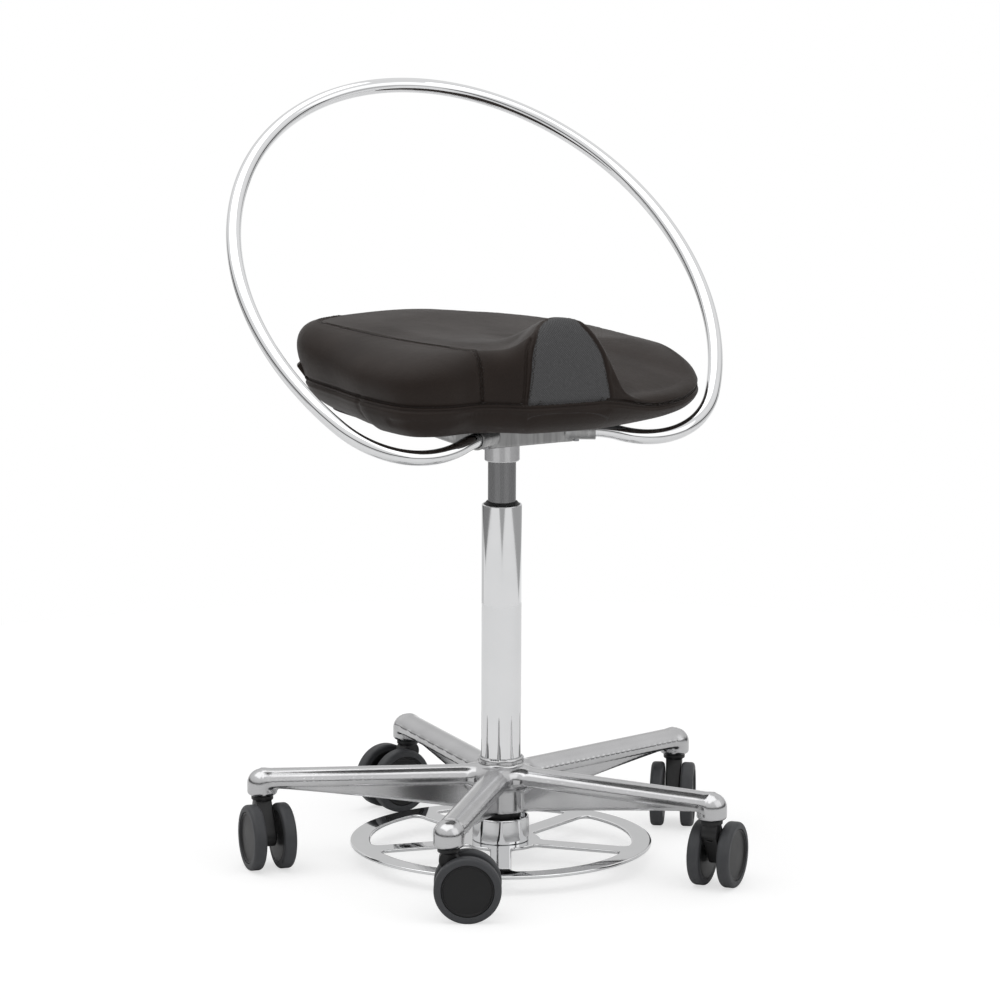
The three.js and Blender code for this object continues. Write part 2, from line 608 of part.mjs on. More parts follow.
function castorHousing() {
  const foot = HOUSING_FOOT_RADIUS;
  const back = -HOUSING_COLLAR_RADIUS * HOUSING_BACK_SHARE;
  const front = HOUSING_COLLAR_RADIUS * HOUSING_FRONT_SHARE;
  const shoulder = HOUSING_TOP - STEM_ROUND;
  const corners = [
    [back, shoulder, STEM_ROUND],
    [back, HOUSING_TOP - HOUSING_BACK_HEIGHT, foot],
    [CASTOR_TRAIL - foot, AXLE_HEIGHT - foot, foot],
    [CASTOR_TRAIL + foot, AXLE_HEIGHT - foot, foot / 2],
    [CASTOR_TRAIL + foot, AXLE_HEIGHT + foot * HOUSING_BROW_SHARE, foot],
    [front, shoulder, STEM_ROUND],
  ];
  const web = plate(roundedOutline(corners, 2), -HOUSING_WIDTH / 2, HOUSING_WIDTH).rotateX(Math.PI / 2);
  const collar = disc(HOUSING_COLLAR_RADIUS, 2 * WHEEL_RADIUS + WHEEL_CLEARANCE, HOUSING_TOP, 16);
  const stemBore = disc(STEM_RADIUS + GAP, STEM_BOTTOM - GAP, HOUSING_TOP + OVERRUN, 12);
  const axleHalf = HOUSING_WIDTH / 2 + OVERRUN;
  const axleBore = disc(AXLE_RADIUS + GAP, -axleHalf, axleHalf, 12).rotateX(Math.PI / 2);
  return cut(join(web, collar), stemBore, axleBore.translate(CASTOR_TRAIL, 0, AXLE_HEIGHT));
}

function castorAxle() {
  const half = WHEEL_INNER_FACE + AXLE_IN_WHEEL;
  return disc(AXLE_RADIUS, -half, half, 12).rotateX(Math.PI / 2).translate(CASTOR_TRAIL, 0, AXLE_HEIGHT);
}

// Stands a wheel piece, turned about +Z from its inner face, on one side of the housing.
function onAxle(geometry, side) {
  const upright = geometry.rotateX(side * -Math.PI / 2);
  return upright.translate(CASTOR_TRAIL, side * WHEEL_INNER_FACE, AXLE_HEIGHT);
}

function wheelCore(side) {
  const rim = WHEEL_RADIUS - TREAD_DEPTH - GAP;
  const bore = AXLE_RADIUS + GAP;
  const boreDepth = AXLE_IN_WHEEL + GAP;
  const face = WHEEL_THICK - WHEEL_DISH;
  return onAxle(turned([
    [0, boreDepth], [bore, boreDepth], [bore, 0], [rim, 0], [rim, face],
    [rim - TREAD_ROUND, face - WHEEL_DISH], [0, face - WHEEL_DISH / 2],
  ], 16), side);
}

function wheelTread(side) {
  const inner = WHEEL_RADIUS - TREAD_DEPTH;
  const round = TREAD_ROUND;
  const ring = turned([
    [inner, 0], [WHEEL_RADIUS - round, 0], [WHEEL_RADIUS, round], [WHEEL_RADIUS, WHEEL_THICK - round],
    [WHEEL_RADIUS - round, WHEEL_THICK], [inner, WHEEL_THICK], [inner, 0],
  ], TREAD_SIDES).rotateZ(Math.PI / TREAD_SIDES);
  return onAxle(ring, side);
}

// Hoop

function leaningPoint(side, rise) {
  const lean = RING_LEAN_DEG * RADIANS;
  const depth = RING_MIDDLE_BACK + rise * Math.sin(lean);
  return new THREE.Vector3(side, depth, PLATE_BOTTOM + RING_MIDDLE_RISE + rise * Math.cos(lean));
}

const RING_END = new THREE.Vector3(
  PLATE_HALF_WIDTH - RING_END_INSET, RING_END_FRONT_INSET - PLATE_FRONT, RING_END_HEIGHT,
);
const RING_END_HEADING = new THREE.Vector3(
  Math.cos(RING_END_TURN_DEG * RADIANS), Math.sin(RING_END_TURN_DEG * RADIANS), 0,
);

// One half of the hoop's middle line, from its top to its end on the right.
function hoopHalf() {
  const start = LOBE_START_DEG * RADIANS;
  const lobeStart = new THREE.Vector2(RING_HALF_WIDTH * Math.cos(start), RING_HALF_HEIGHT * Math.sin(start));
  const normal = new THREE.Vector2(Math.cos(start) / RING_HALF_WIDTH, Math.sin(start) / RING_HALF_HEIGHT);
  const lobeMiddle = lobeStart.clone().addScaledVector(normal.normalize(), -LOBE_RADIUS);
  const points = [];
  for (let i = 0; i < ELLIPSE_STEPS; i += 1) {
    const angle = lerp(Math.PI / 2, start, i / ELLIPSE_STEPS);
    points.push(leaningPoint(RING_HALF_WIDTH * Math.cos(angle), RING_HALF_HEIGHT * Math.sin(angle)));
  }
  const [from, to] = [Math.atan2(normal.y, normal.x), LOBE_END_DEG * RADIANS];
  for (let i = 0; i <= LOBE_STEPS; i += 1) {
    const angle = lerp(from, to, i / LOBE_STEPS);
    const [side, rise] = [LOBE_RADIUS * Math.cos(angle), LOBE_RADIUS * Math.sin(angle)];
    points.push(leaningPoint(lobeMiddle.x + side, lobeMiddle.y + rise));
  }
  const lobeEnd = points.at(-1);
  const heading = leaningPoint(Math.sin(to), -Math.cos(to)).sub(leaningPoint(0, 0));
  const pull = lobeEnd.distanceTo(RING_END) * BEND_PULL_SHARE;
  const bend = new THREE.CubicBezierCurve3(
    lobeEnd, lobeEnd.clone().addScaledVector(heading, pull),
    RING_END.clone().addScaledVector(RING_END_HEADING, -pull), RING_END.clone(),
  );
  return [...points, ...bend.getPoints(BEND_STEPS).slice(1)];
}

// The hoop's tube at a given radius, also used a little fatter to cut its sockets.
function hoopTube(radius) {
  const right = hoopHalf();
  const left = right.slice(1).map((point) => new THREE.Vector3(-point.x, point.y, point.z)).reverse();
  const path = new THREE.CatmullRomCurve3([...left, ...right]);
  const section = new THREE.Shape(Array.from({ length: RING_SIDES }, (_, i) => {
    const angle = (2 * Math.PI * i) / RING_SIDES;
    return new THREE.Vector2(radius * Math.cos(angle), radius * Math.sin(angle));
  }));
  return new THREE.ExtrudeGeometry(section, { steps: RING_STEPS, extrudePath: path, bevelEnabled: false });
}

// Seat carrier

// A round bar from one of the hoop's ends outwards, for its socket and the socket's bore.
function alongHoopEnd(radius, from, length, side) {
  const outwards = RING_END_TURN_DEG * RADIANS + Math.PI;
  const bar = disc(radius, from, from + length, 16).rotateY(Math.PI / 2).rotateZ(outwards);
  bar.translate(RING_END.x, RING_END.y, RING_END.z);
  return side < 0 ? bar.scale(-1, 1, 1) : bar;
}

function ringScrewBar(side, radius, bottom, top) {
  const place = RING_END.clone().addScaledVector(RING_END_HEADING, -RING_TUBE_RADIUS);
  return disc(radius, bottom, top, 12).translate(side * place.x, place.y, 0);
}

function ringScrew(side) {
  return ringScrewBar(side, RING_SCREW_RADIUS, PLATE_BOTTOM + GAP, RING_SCREW_TOP);
}

// The four screws that hold the shell on the plate, as [side, depth].
const SEAT_SCREW_SIDE = PLATE_HALF_WIDTH - SEAT_SCREW_INSET;
const SEAT_SCREW_DEPTHS = [SEAT_SCREW_FRONT_INSET - PLATE_FRONT, PLATE_BACK - SEAT_SCREW_INSET];
const SEAT_SCREW_SIDES = [-SEAT_SCREW_SIDE, SEAT_SCREW_SIDE];
const SEAT_SCREW_PLACES = SEAT_SCREW_DEPTHS.flatMap((depth) => SEAT_SCREW_SIDES.map((side) => [side, depth]));
const SEAT_SCREW_TOP = SHELL_BOTTOM + SEAT_SCREW_IN_SHELL;

function seatScrew([side, depth]) {
  const headTop = PLATE_BOTTOM - GAP;
  const headBottom = headTop - SEAT_SCREW_HEAD_HEIGHT;
  return turned([
    [0, headBottom], [SEAT_SCREW_HEAD_RADIUS, headBottom], [SEAT_SCREW_HEAD_RADIUS, headTop],
    [SEAT_SCREW_RADIUS, headTop], [SEAT_SCREW_RADIUS, SEAT_SCREW_TOP], [0, SEAT_SCREW_TOP],
  ], 12).translate(side, depth, 0);
}

function seatScrewHoles() {
  const radius = SEAT_SCREW_RADIUS + GAP;
  return SEAT_SCREW_PLACES.map(([side, depth]) => (
    disc(radius, PLATE_BOTTOM - OVERRUN, SEAT_SCREW_TOP + GAP, 12).translate(side, depth, 0)
  ));
}

function mountPlate() {
  const body = plate(roundedOutline([
    [-PLATE_HALF_WIDTH, -PLATE_FRONT, PLATE_CORNER], [PLATE_HALF_WIDTH, -PLATE_FRONT, PLATE_CORNER],
    [PLATE_HALF_WIDTH, PLATE_BACK, PLATE_CORNER], [-PLATE_HALF_WIDTH, PLATE_BACK, PLATE_CORNER],
  ]), PLATE_BOTTOM, PLATE_HEIGHT);
  const ears = plate(roundedOutline([
    [-EAR_REACH, -EAR_WIDTH / 2, EAR_END_RADIUS], [EAR_REACH, -EAR_WIDTH / 2, EAR_END_RADIUS],
    [EAR_REACH, EAR_WIDTH / 2, EAR_END_RADIUS], [-EAR_REACH, EAR_WIDTH / 2, EAR_END_RADIUS],
  ]), PLATE_TOP - EAR_HEIGHT, EAR_HEIGHT);
  // The hoop's sockets are trimmed level with the plate's top by a block above it.
  const above = plate([
    [-EAR_REACH, -EAR_REACH], [EAR_REACH, -EAR_REACH], [EAR_REACH, EAR_REACH], [-EAR_REACH, EAR_REACH],
  ], PLATE_TOP, PLATE_HEIGHT);
  const socketTop = PLATE_BOTTOM + SPRING_SOCKET_DEPTH;
  const springSocket = disc(CYLINDER_RADIUS + GAP, PLATE_BOTTOM - OVERRUN, socketTop);
  const pieces = [ears];
  const cuts = [above, springSocket, hoopTube(RING_TUBE_RADIUS + GAP), ...seatScrewHoles()];
  for (const side of [-1, 1]) {
    pieces.push(alongHoopEnd(RING_TUBE_RADIUS + SOCKET_WALL, -SOCKET_WALL, SOCKET_LENGTH, side));
    cuts.push(alongHoopEnd(RING_TUBE_RADIUS + GAP, -GAP, OVERRUN, side));
    cuts.push(ringScrewBar(side, RING_SCREW_RADIUS + GAP, PLATE_BOTTOM - OVERRUN, RING_END_HEIGHT));
  }
  return cut(join(body, ...pieces), ...cuts);
}

// Seat

// Height of the cushion's top: level on the left, lower to the right and front, with the pommel on it.
function topHeight(x, y) {
  const lead = SIDE_FALL_LEAD_SHARE;
  const across = THREE.MathUtils.clamp(x / SEAT_RIGHT, -lead, 1) + lead;
  const frontward = smooth(-FRONT_FALL_START, SEAT_FRONT, -y) * smooth(0, FRONT_FALL_WIDTH, x);
  const backRise = BACK_RISE * smooth(0, SEAT_BACK, y);
  const ahead = smooth(POMMEL_BACK, SEAT_FRONT * POMMEL_TOP_SHARE, -y);
  const [widensFrom, widensTo] = POMMEL_WIDENS_SHARES.map((share) => SEAT_FRONT * share);
  const halfWidth = POMMEL_HALF_WIDTH * lerp(...POMMEL_WIDTH_SHARES, smooth(widensFrom, widensTo, -y));
  const aside = Math.abs((x - POMMEL_SIDE) / halfWidth);
  const rightRise = 1 + POMMEL_RIGHT_SHARE * smooth(0, halfWidth, x);
  const pommel = POMMEL_RISE * ahead * rightRise * Math.exp(-(aside ** POMMEL_STEEPNESS));
  const spread = Math.hypot(x, y) / DISH_RADIUS;
  const dish = DISH_DEPTH * Math.exp(-spread * spread) * (1 - ahead);
  const level = SHELL_BOTTOM + SEAT_RISE + backRise - dish;
  return level - SIDE_FALL * across - FRONT_FALL * frontward + pommel;
}

function seamHeight(x) {
  const rise = lerp(SEAM_LEFT_RISE, SEAM_RIGHT_RISE, smooth(SEAM_FALL_START, SEAM_FALL_END, x));
  return SHELL_BOTTOM + rise;
}

function seatCurve(sideColumn, depthColumn) {
  const points = SEAT_OUTLINE_SHARES.map((row) => {
    const [side, depth] = [row[sideColumn], row[depthColumn]];
    const width = side < 0 ? SEAT_LEFT : SEAT_RIGHT;
    return new THREE.Vector3(side * width, depth * (depth < 0 ? SEAT_FRONT : SEAT_BACK), 0);
  });
  return new THREE.CatmullRomCurve3(points, true);
}

const SEAM_CURVE = seatCurve(0, 1);
const EDGE_CURVE = seatCurve(2, 3);

// The point at a share of the way round the skirt seam, in plan, and the way outwards from it.
function seamPlace(share) {
  const tangent = SEAM_CURVE.getTangent(share);
  return [SEAM_CURVE.getPoint(share), new THREE.Vector3(tangent.y, -tangent.x, 0).normalize()];
}

// The skirt seam's plan drawn in by an inset, with a height for each point.
function insetRing(inset, heightAt, count = CUSHION_POINTS) {
  return Array.from({ length: count }, (_, i) => {
    const [point, outward] = seamPlace(i / count);
    return point.clone().addScaledVector(outward, -inset).setZ(heightAt(point.x));
  });
}

// A point of the wall between the skirt seam and the top's edge, bulging most on the left.
function wallPoint(place, edge, share) {
  const [seam, outward] = seamPlace(place);
  const turn = (share * Math.PI) / 2;
  const bulge = lerp(RIGHT_BULGE, LEFT_BULGE, smooth(0, SEAT_LEFT, -seam.x)) * Math.sin(2 * turn);
  const point = seam.clone().lerp(edge, 1 - Math.cos(turn)).addScaledVector(outward, bulge);
  return point.setZ(lerp(seamHeight(seam.x), edge.z, Math.sin(turn)));
}

function seatCushion() {
  const recessTop = SHELL_BOTTOM + SHELL_THICK + GAP;
  const recessInset = RIM_INSET + RIM_WIDTH;
  const skirtHeight = (share) => (x) => lerp(RIM_HEIGHT, seamHeight(x), share);
  const places = Array.from({ length: CUSHION_POINTS }, (_, i) => i / CUSHION_POINTS);
  const onTop = (x, y) => new THREE.Vector3(x, y, topHeight(x, y));
  const edge = places.map((place) => EDGE_CURVE.getPoint(place)).map(({ x, y }) => onTop(x, y));
  const isSewn = ({ x, y }) => x < -SEAT_LEFT * SEWN_LEFT_SHARE || y < -SEAT_FRONT * SEWN_FRONT_SHARE;
  const rings = [
    insetRing(recessInset, () => recessTop),
    insetRing(recessInset, () => RIM_HEIGHT),
    ...SKIRT_SHARES.map(([inset, rise]) => insetRing(RIM_INSET * inset, skirtHeight(rise))),
    insetRing(-CHANNEL_DEPTH, skirtHeight(SKIRT_SWELL_SHARE)),
    insetRing(CHANNEL_DEPTH, seamHeight),
    ...WALL_SHARES.map((share) => places.map((place, i) => wallPoint(place, edge[i], share))),
    edge.map((point) => point.clone().setZ(point.z - (isSewn(point) ? CHANNEL_DEPTH : 0))),
    ...TOP_RING_SHARES.map((share) => edge.map(({ x, y }) => onTop(x * share, y * share))),
  ];
  return lofted(rings, new THREE.Vector3(0, 0, recessTop), onTop(0, 0));
}

function seatShell() {
  const ring = insetRing(RIM_INSET + RIM_WIDTH + SHELL_CLEARANCE, () => 0, SHELL_POINTS);
  return cut(plate(ring.map((point) => [point.x, point.y]), SHELL_BOTTOM, SHELL_THICK), ...seatScrewHoles());
}

// Assembly

const stool = new THREE.Group();
stool.position.y = -AXIS_FORWARD;

function add(name, geometry, material, parent = stool) {
  const mesh = new THREE.Mesh(closed(geometry), material);
  mesh.name = name;
  mesh.geometry.computeVertexNormals();
  parent.add(mesh);
}

add('base_spider', baseSpider(), FINISHES.polishedAluminium);
add('column_tube', columnTube(), FINISHES.chrome);
add('guide_bush', guideBush(), FINISHES.whiteAcetal);
add('wiper_seal', wiperSeal(), FINISHES.blackRubber);
add('thrust_bearing', thrustBearing(), FINISHES.plainSteel);
add('release_flange', releaseFlange(), FINISHES.blackPlastic);
add('piston_rod', pistonRod(), FINISHES.plainSteel);
add('piston', piston(), FINISHES.plainSteel);
add('rod_clip', rodClip(), FINISHES.plainSteel);
add('release_pin', releasePin(), FINISHES.plainSteel);
add('foot_disc', footDisc(), FINISHES.chrome);
add('foot_cup', footCup(), FINISHES.chrome);
add('gas_cylinder', gasCylinder(), FINISHES.satinSteel);
add('rod_gland', rodGland(), FINISHES.blackPlastic);
add('taper_collar', taperCollar(), FINISHES.castAluminium);
add('mount_plate', mountPlate(), FINISHES.castAluminium);
add('support_ring', hoopTube(RING_TUBE_RADIUS), FINISHES.chrome);
add('ring_screw_left', ringScrew(-1), FINISHES.plainSteel);
add('ring_screw_right', ringScrew(1), FINISHES.plainSteel);
add('seat_shell', seatShell(), FINISHES.blackPlastic);
add('seat_cushion', seatCushion(), FINISHES.leather);
SEAT_SCREW_PLACES.forEach((place, i) => add(`seat_screw_${i + 1}`, seatScrew(place), FINISHES.plainSteel));

for (let i = 0; i < ARM_COUNT; i += 1) {
  const castor = new THREE.Group();
  castor.position.set(ARM_REACH * Math.cos(armAngle(i)), ARM_REACH * Math.sin(armAngle(i)), 0);
  castor.rotation.z = CASTOR_HEADINGS_DEG[i % CASTOR_HEADINGS_DEG.length] * RADIANS;
  stool.add(castor);
  const name = `castor_${i + 1}`;
  add(`${name}_stem`, castorStem(), FINISHES.plainSteel, castor);
  add(`${name}_housing`, castorHousing(), FINISHES.blackPlastic, castor);
  add(`${name}_axle`, castorAxle(), FINISHES.plainSteel, castor);
  for (const [side, label] of [[1, 'left'], [-1, 'right']]) {
    add(`${name}_wheel_${label}`, wheelCore(side), FINISHES.wheelNylon, castor);
    add(`${name}_tread_${label}`, wheelTread(side), FINISHES.greyTread, castor);
  }
}

export default stool;
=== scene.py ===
"""The looks of a saddle stool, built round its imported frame.

Shapes are worked out in millimetres in the column's own frame: +Z up, -Y to the front of the seat and
the column on the z axis. `placed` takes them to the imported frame, in metres.
"""

from __future__ import annotations

import json
import logging
import math
from dataclasses import dataclass
from enum import Enum
from typing import Any, Callable, Sequence

import bpy
import numpy as np
from mathutils import Matrix, Vector
from mathutils.bvhtree import BVHTree
from mathutils.kdtree import KDTree


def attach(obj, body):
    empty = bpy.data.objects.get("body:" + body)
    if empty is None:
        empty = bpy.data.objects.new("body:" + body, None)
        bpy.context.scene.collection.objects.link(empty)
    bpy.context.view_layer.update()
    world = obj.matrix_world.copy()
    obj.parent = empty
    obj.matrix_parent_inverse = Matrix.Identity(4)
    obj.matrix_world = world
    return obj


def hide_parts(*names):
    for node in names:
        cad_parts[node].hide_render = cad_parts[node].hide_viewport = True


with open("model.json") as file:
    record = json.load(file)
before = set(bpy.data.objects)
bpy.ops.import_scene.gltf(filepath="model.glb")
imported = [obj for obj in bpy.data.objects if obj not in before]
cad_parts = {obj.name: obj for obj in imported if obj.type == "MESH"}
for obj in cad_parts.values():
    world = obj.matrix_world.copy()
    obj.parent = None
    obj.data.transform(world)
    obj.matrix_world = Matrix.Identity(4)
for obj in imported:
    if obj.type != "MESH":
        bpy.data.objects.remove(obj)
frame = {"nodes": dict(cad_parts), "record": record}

LOG = logging.getLogger("stool")
MILLIMETRE = 0.001
AXIS_FORWARD = 17.4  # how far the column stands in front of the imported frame's middle
ROOM = 3.0  # the space kept round a solid while it is skinned
Array = np.ndarray
Field = Callable[[Array], Array]
Node, Socket, Tree = bpy.types.Node, bpy.types.NodeSocket, bpy.types.NodeTree


class Slot(Enum):
    """The record's material slots."""

    POLISHED_ALUMINIUM = "polished_aluminium"
    CAST_ALUMINIUM = "cast_aluminium"
    CHROME = "chrome"
    SATIN_STEEL = "satin_steel"
    PLAIN_STEEL = "plain_steel"
    BLACK_PLASTIC = "black_plastic"
    WHITE_ACETAL = "white_acetal"
    BLACK_RUBBER = "black_rubber"
    GREY_TREAD = "grey_tread"
    WHEEL_NYLON = "wheel_nylon"
    UPHOLSTERY = "upholstery"


# Small helpers


def placed(points: Array) -> Array:
    """Takes points of the column's frame, in millimetres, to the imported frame, in metres.

    Args:
        points: an array of points, three numbers each.

    Returns:
        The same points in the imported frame.
    """
    return (np.asarray(points, float).reshape(-1, 3) - (0, AXIS_FORWARD, 0)) * MILLIMETRE


def linear_colour(code: str) -> tuple[float, float, float, float]:
    """Turns an sRGB hex colour such as "#35302D" to the linear values that nodes take.

    Args:
        code: the colour, a hash and six hex digits.

    Returns:
        Red, green, blue and an alpha of 1.
    """
    channels = [int(code[i : i + 2], 16) / 255 for i in (1, 3, 5)]
    red, green, blue = [c / 12.92 if c <= 0.04045 else ((c + 0.055) / 1.055) ** 2.4 for c in channels]
    return (red, green, blue, 1.0)


def add_node(tree: Tree, kind: str, inputs: dict | None = None, **settings: Any) -> Node:
    """Adds a node to a tree, with its settings, its inputs' values and its links.

    Args:
        tree: the node tree.
        kind: the node's type name.
        inputs: input name or number to a value, an output that feeds it or a node whose first output does.
        **settings: the node's own settings.

    Returns:
        The new node.
    """
    node = tree.nodes.new(kind)
    for key, value in settings.items():
        setattr(node, key, value)
    for key, value in (inputs or {}).items():
        value = value.outputs[0] if isinstance(value, Node) else value
        if isinstance(value, Socket):
            tree.links.new(value, node.inputs[key])
        else:
            node.inputs[key].default_value = value
    return node


def smooth(start: float, end: float, value: Array) -> Array:
    """Eases from 0 at start to 1 at end.

    Args:
        start: where the ease begins.
        end: where it is over.
        value: the numbers to ease.

    Returns:
        The eased share for each number.
    """
    share = np.clip((value - start) / (end - start), 0, 1)
    return share * share * (3 - 2 * share)


def mix(a: Any, b: Any, share: Any) -> Any:
    """Blends from a to b by a share."""
    return a + (b - a) * share


def at_height(plan: Array, z: Any) -> Array:
    """Stands flat points at a height."""
    return np.column_stack([plan, np.full(len(plan), z)])


def smooth_line(knots: Any, count: int) -> Array:
    """Runs a smooth line through some knots.

    Args:
        knots: the points that it passes, any number of coordinates each.
        count: how many points the line has.

    Returns:
        The line's points, evenly shared between the knots.
    """
    knots = np.array(knots)
    padded = np.vstack([2 * knots[0] - knots[1], knots, 2 * knots[-1] - knots[-2]])
    at = np.linspace(0, len(knots) - 1, count)
    i = np.minimum(at.astype(int), len(knots) - 2)
    w = (at - i)[:, None]
    p0, p1, p2, p3 = (padded[i + k] for k in range(4))
    t1, t2 = (p2 - p0) / 2, (p3 - p1) / 2
    return p1 + t1 * w + (3 * (p2 - p1) - 2 * t1 - t2) * w**2 + (2 * (p1 - p2) + t1 + t2) * w**3


def line_distance(points: Array, line: Array) -> Array:
    """Finds how far each point is from a line of straight lengths.

    Args:
        points: the points, two or three numbers each.
        line: the line's corners.

    Returns:
        The distances.
    """
    nearest = np.full(len(points), np.inf)
    for start, finish in zip(line[:-1], line[1:]):
        way = finish - start
        share = np.clip((points - start) @ way / (way @ way), 0, 1)
        nearest = np.minimum(nearest, np.linalg.norm(points - start - np.outer(share, way), axis=1))
    return nearest


def search_tree(points: Array) -> KDTree:
    """Makes a tree that finds the nearest of some points.

    Args:
        points: the points, three numbers each.

    Returns:
        The balanced tree.
    """
    tree = KDTree(len(points))
    for i, point in enumerate(points):
        tree.insert(point, i)
    tree.balance()
    return tree


def away_from(others: Array, points: Array) -> Array:
    """Gives the distance from each point to the nearest of some others."""
    tree = search_tree(others)
    return np.array([tree.find(point)[2] for point in points])


def blended(tree: KDTree, values: Array, points: Array, count: int, ease: float, power: int) -> Array:
    """Averages what belongs to the nearest few of a tree's points, the nearer ones counting for more.

    Args:
        tree: the tree.
        values: a row of numbers for each of its points.
        points: where the averages are wanted.
        count: how many of the tree's points each average takes.
        ease: a small distance that keeps a point met head-on from counting alone.
        power: how fast the weight falls with the distance.

    Returns:
        A row of numbers for each point.
    """
    made = np.empty((len(points), values.shape[1]))
    for i, point in enumerate(points):
        found = tree.find_n(point, count)
        weights = np.array([1 / (f[2] + ease) ** power for f in found])
        made[i] = weights @ values[[f[1] for f in found]] / weights.sum()
    return made


def row_quads(rows: int, size: int, is_ring: bool = True, is_loop: bool = False) -> Array:
    """Joins each row of points to the next by quads.

    Args:
        rows: how many rows there are.
        size: how many points a row has.
        is_ring: whether each row closes on itself.
        is_loop: whether the last row joins the first.

    Returns:
        The quads, four point numbers each.
    """
    row = np.arange(rows if is_loop else rows - 1)[:, None] * size
    up = (row + size) % (rows * size)
    i = np.arange(size if is_ring else size - 1)
    j = (i + 1) % size
    return np.stack([row + i, row + j, up + j, up + i], axis=2).reshape(-1, 4)


# Surfaces


@dataclass
class Surface:
    """Points in millimetres and the faces that join them, each array of faces with one corner count."""

    points: Array
    faces: list[Array]

    def moved(self, matrix: Any) -> Surface:
        """Gives this surface carried by a 4 by 4 matrix."""
        m = np.array(matrix, float)
        return Surface(self.points @ m[:3, :3].T + m[:3, 3], self.faces)

    def joined(self, *others: Surface) -> Surface:
        """Makes one surface of this one and others.

        Args:
            *others: the surfaces to add.

        Returns:
            The joined surface.
        """
        points, faces, start = [], [], 0
        for part in (self, *others):
            points.append(part.points)
            faces += [group + start for group in part.faces]
            start += len(part.points)
        return Surface(np.vstack(points), faces)

    def merged(self) -> Surface:
        """Gives this surface with points at one place made one point."""
        _, first, place = np.unique(self.points.round(4), axis=0, return_index=True, return_inverse=True)
        return Surface(self.points[first], [place.ravel()[group] for group in self.faces])


def capped(points: Array, sides: int, low: Sequence[float], high: Sequence[float]) -> Surface:
    """Closes rings of points with a fan of triangles below and another on top.

    Args:
        points: the rings' points, from the lowest ring up.
        sides: how many points a ring has.
        low: the middle of the lower fan.
        high: the middle of the upper one.

    Returns:
        A closed surface.
    """
    i, last = np.arange(sides), len(points)
    j = (i + 1) % sides
    under = np.stack([np.full(sides, last), j, i], axis=1)
    over = np.stack([np.full(sides, last + 1), last - sides + i, last - sides + j], axis=1)
    return Surface(np.vstack([points, [low], [high]]), [row_quads(last // sides, sides), under, over])


def rounded_path(corners: Sequence[tuple[float, float, float]], closed: bool, steps: int = 5) -> Array:
    """Rounds the corners of a flat path, with a point just beside each round that keeps the flats flat.

    Args:
        corners: the path's corners, two coordinates and the radius of the round.
        closed: whether the last corner joins the first.
        steps: how many edges a round has.

    Returns:
        The rounded path's points, two numbers each.
    """
    flats = np.array([corner[:2] for corner in corners], float)
    count = len(flats)
    path = []
    for i, (x, y, radius) in enumerate(corners):
        here = np.array((x, y), float)
        if radius <= 0 or (not closed and i in (0, count - 1)):
            path.append(here)
            continue
        back = flats[i - 1] - here
        ahead = flats[(i + 1) % count] - here
        back_length, ahead_length = np.linalg.norm(back), np.linalg.norm(ahead)
        back, ahead = back / back_length, ahead / ahead_length
        half = math.acos(float(np.clip(back @ ahead, -1, 1))) / 2
        reach = min(radius / math.tan(half), 0.49 * min(back_length, ahead_length))
        radius = reach * math.tan(half)
        middle = here + (back + ahead) / np.linalg.norm(back + ahead) * radius / math.sin(half)
        start, end = here + back * reach - middle, here + ahead * reach - middle
        sweep = math.pi - 2 * half
        side = math.copysign(1, start[0] * end[1] - start[1] * end[0])
        support = min(radius * 0.35, 0.2 * min(back_length, ahead_length))
        path.append(here + back * (reach + support * 0.5))
        for step in range(steps + 1):
            angle = side * sweep * step / steps
            c, s = math.cos(angle), math.sin(angle)
            path.append(middle + (start[0] * c - start[1] * s, start[0] * s + start[1] * c))
        path.append(here + ahead * (reach + support * 0.5))
    return np.array(path)


def turned(
    corners: Sequence[tuple[float, float, float]], sides: int = 96, closed: bool = True, steps: int = 5
) -> Surface:
    """Turns a profile of (radius, height, round) corners about the z axis.

    Args:
        corners: the profile, which runs so that the outside is on its right going up.
        sides: how many faces go round.
        closed: False for a profile that starts and ends on the axis.
        steps: how many edges each round has.

    Returns:
        A closed surface.
    """
    path = rounded_path(corners, closed, steps)
    ring = path if closed else path[1:-1]
    angles = np.arange(sides) * 2 * math.pi / sides
    around = [np.outer(ring[:, 0], np.cos(angles)), np.outer(ring[:, 0], np.sin(angles))]
    points = np.stack([*around, np.outer(ring[:, 1], np.ones(sides))], axis=2).reshape(-1, 3)
    if closed:
        return Surface(points, [row_quads(len(ring), sides, is_loop=True)])
    return capped(points, sides, (0, 0, path[0][1]), (0, 0, path[-1][1]))


def rounded_section(a: Array, b: Array, radius: Any) -> Array:
    """The space inside both of two solids, with a round along the edge where they meet."""
    both = np.hypot(np.maximum(a + radius, 0), np.maximum(b + radius, 0))
    return both + np.minimum(np.maximum(a, b) + radius, 0) - radius


def rounded_box(across: Array, up: Array, half: Any, bottom: Any, top: Any, rounds: tuple) -> Array:
    """Distance in a flat section to a box with one round for its lower and one for its upper corners.

    Args:
        across: how far each point is from the section's middle.
        up: each point's height.
        half: half the box's width.
        bottom: the height of its underside.
        top: the height of its top.
        rounds: the radius of its lower and of its upper corners.

    Returns:
        The signed distances, negative inside.
    """
    middle, tall = (top + bottom) / 2, (top - bottom) / 2
    radius = np.where(up < middle, rounds[0], rounds[1])
    return rounded_section(np.abs(across) - half, np.abs(up - middle) - tall, radius)


def melt(a: Array, b: Array, radius: float) -> Array:
    """Joins two solids' distances with a fillet of about a radius between them."""
    share = np.maximum(radius - np.abs(a - b), 0) / radius
    return np.minimum(a, b) - share * share * radius / 4


def carve(a: Array, b: Array, radius: float) -> Array:
    """Cuts solid b out of solid a and rounds the cut's edge by about a radius."""
    return -melt(-a, b, radius)


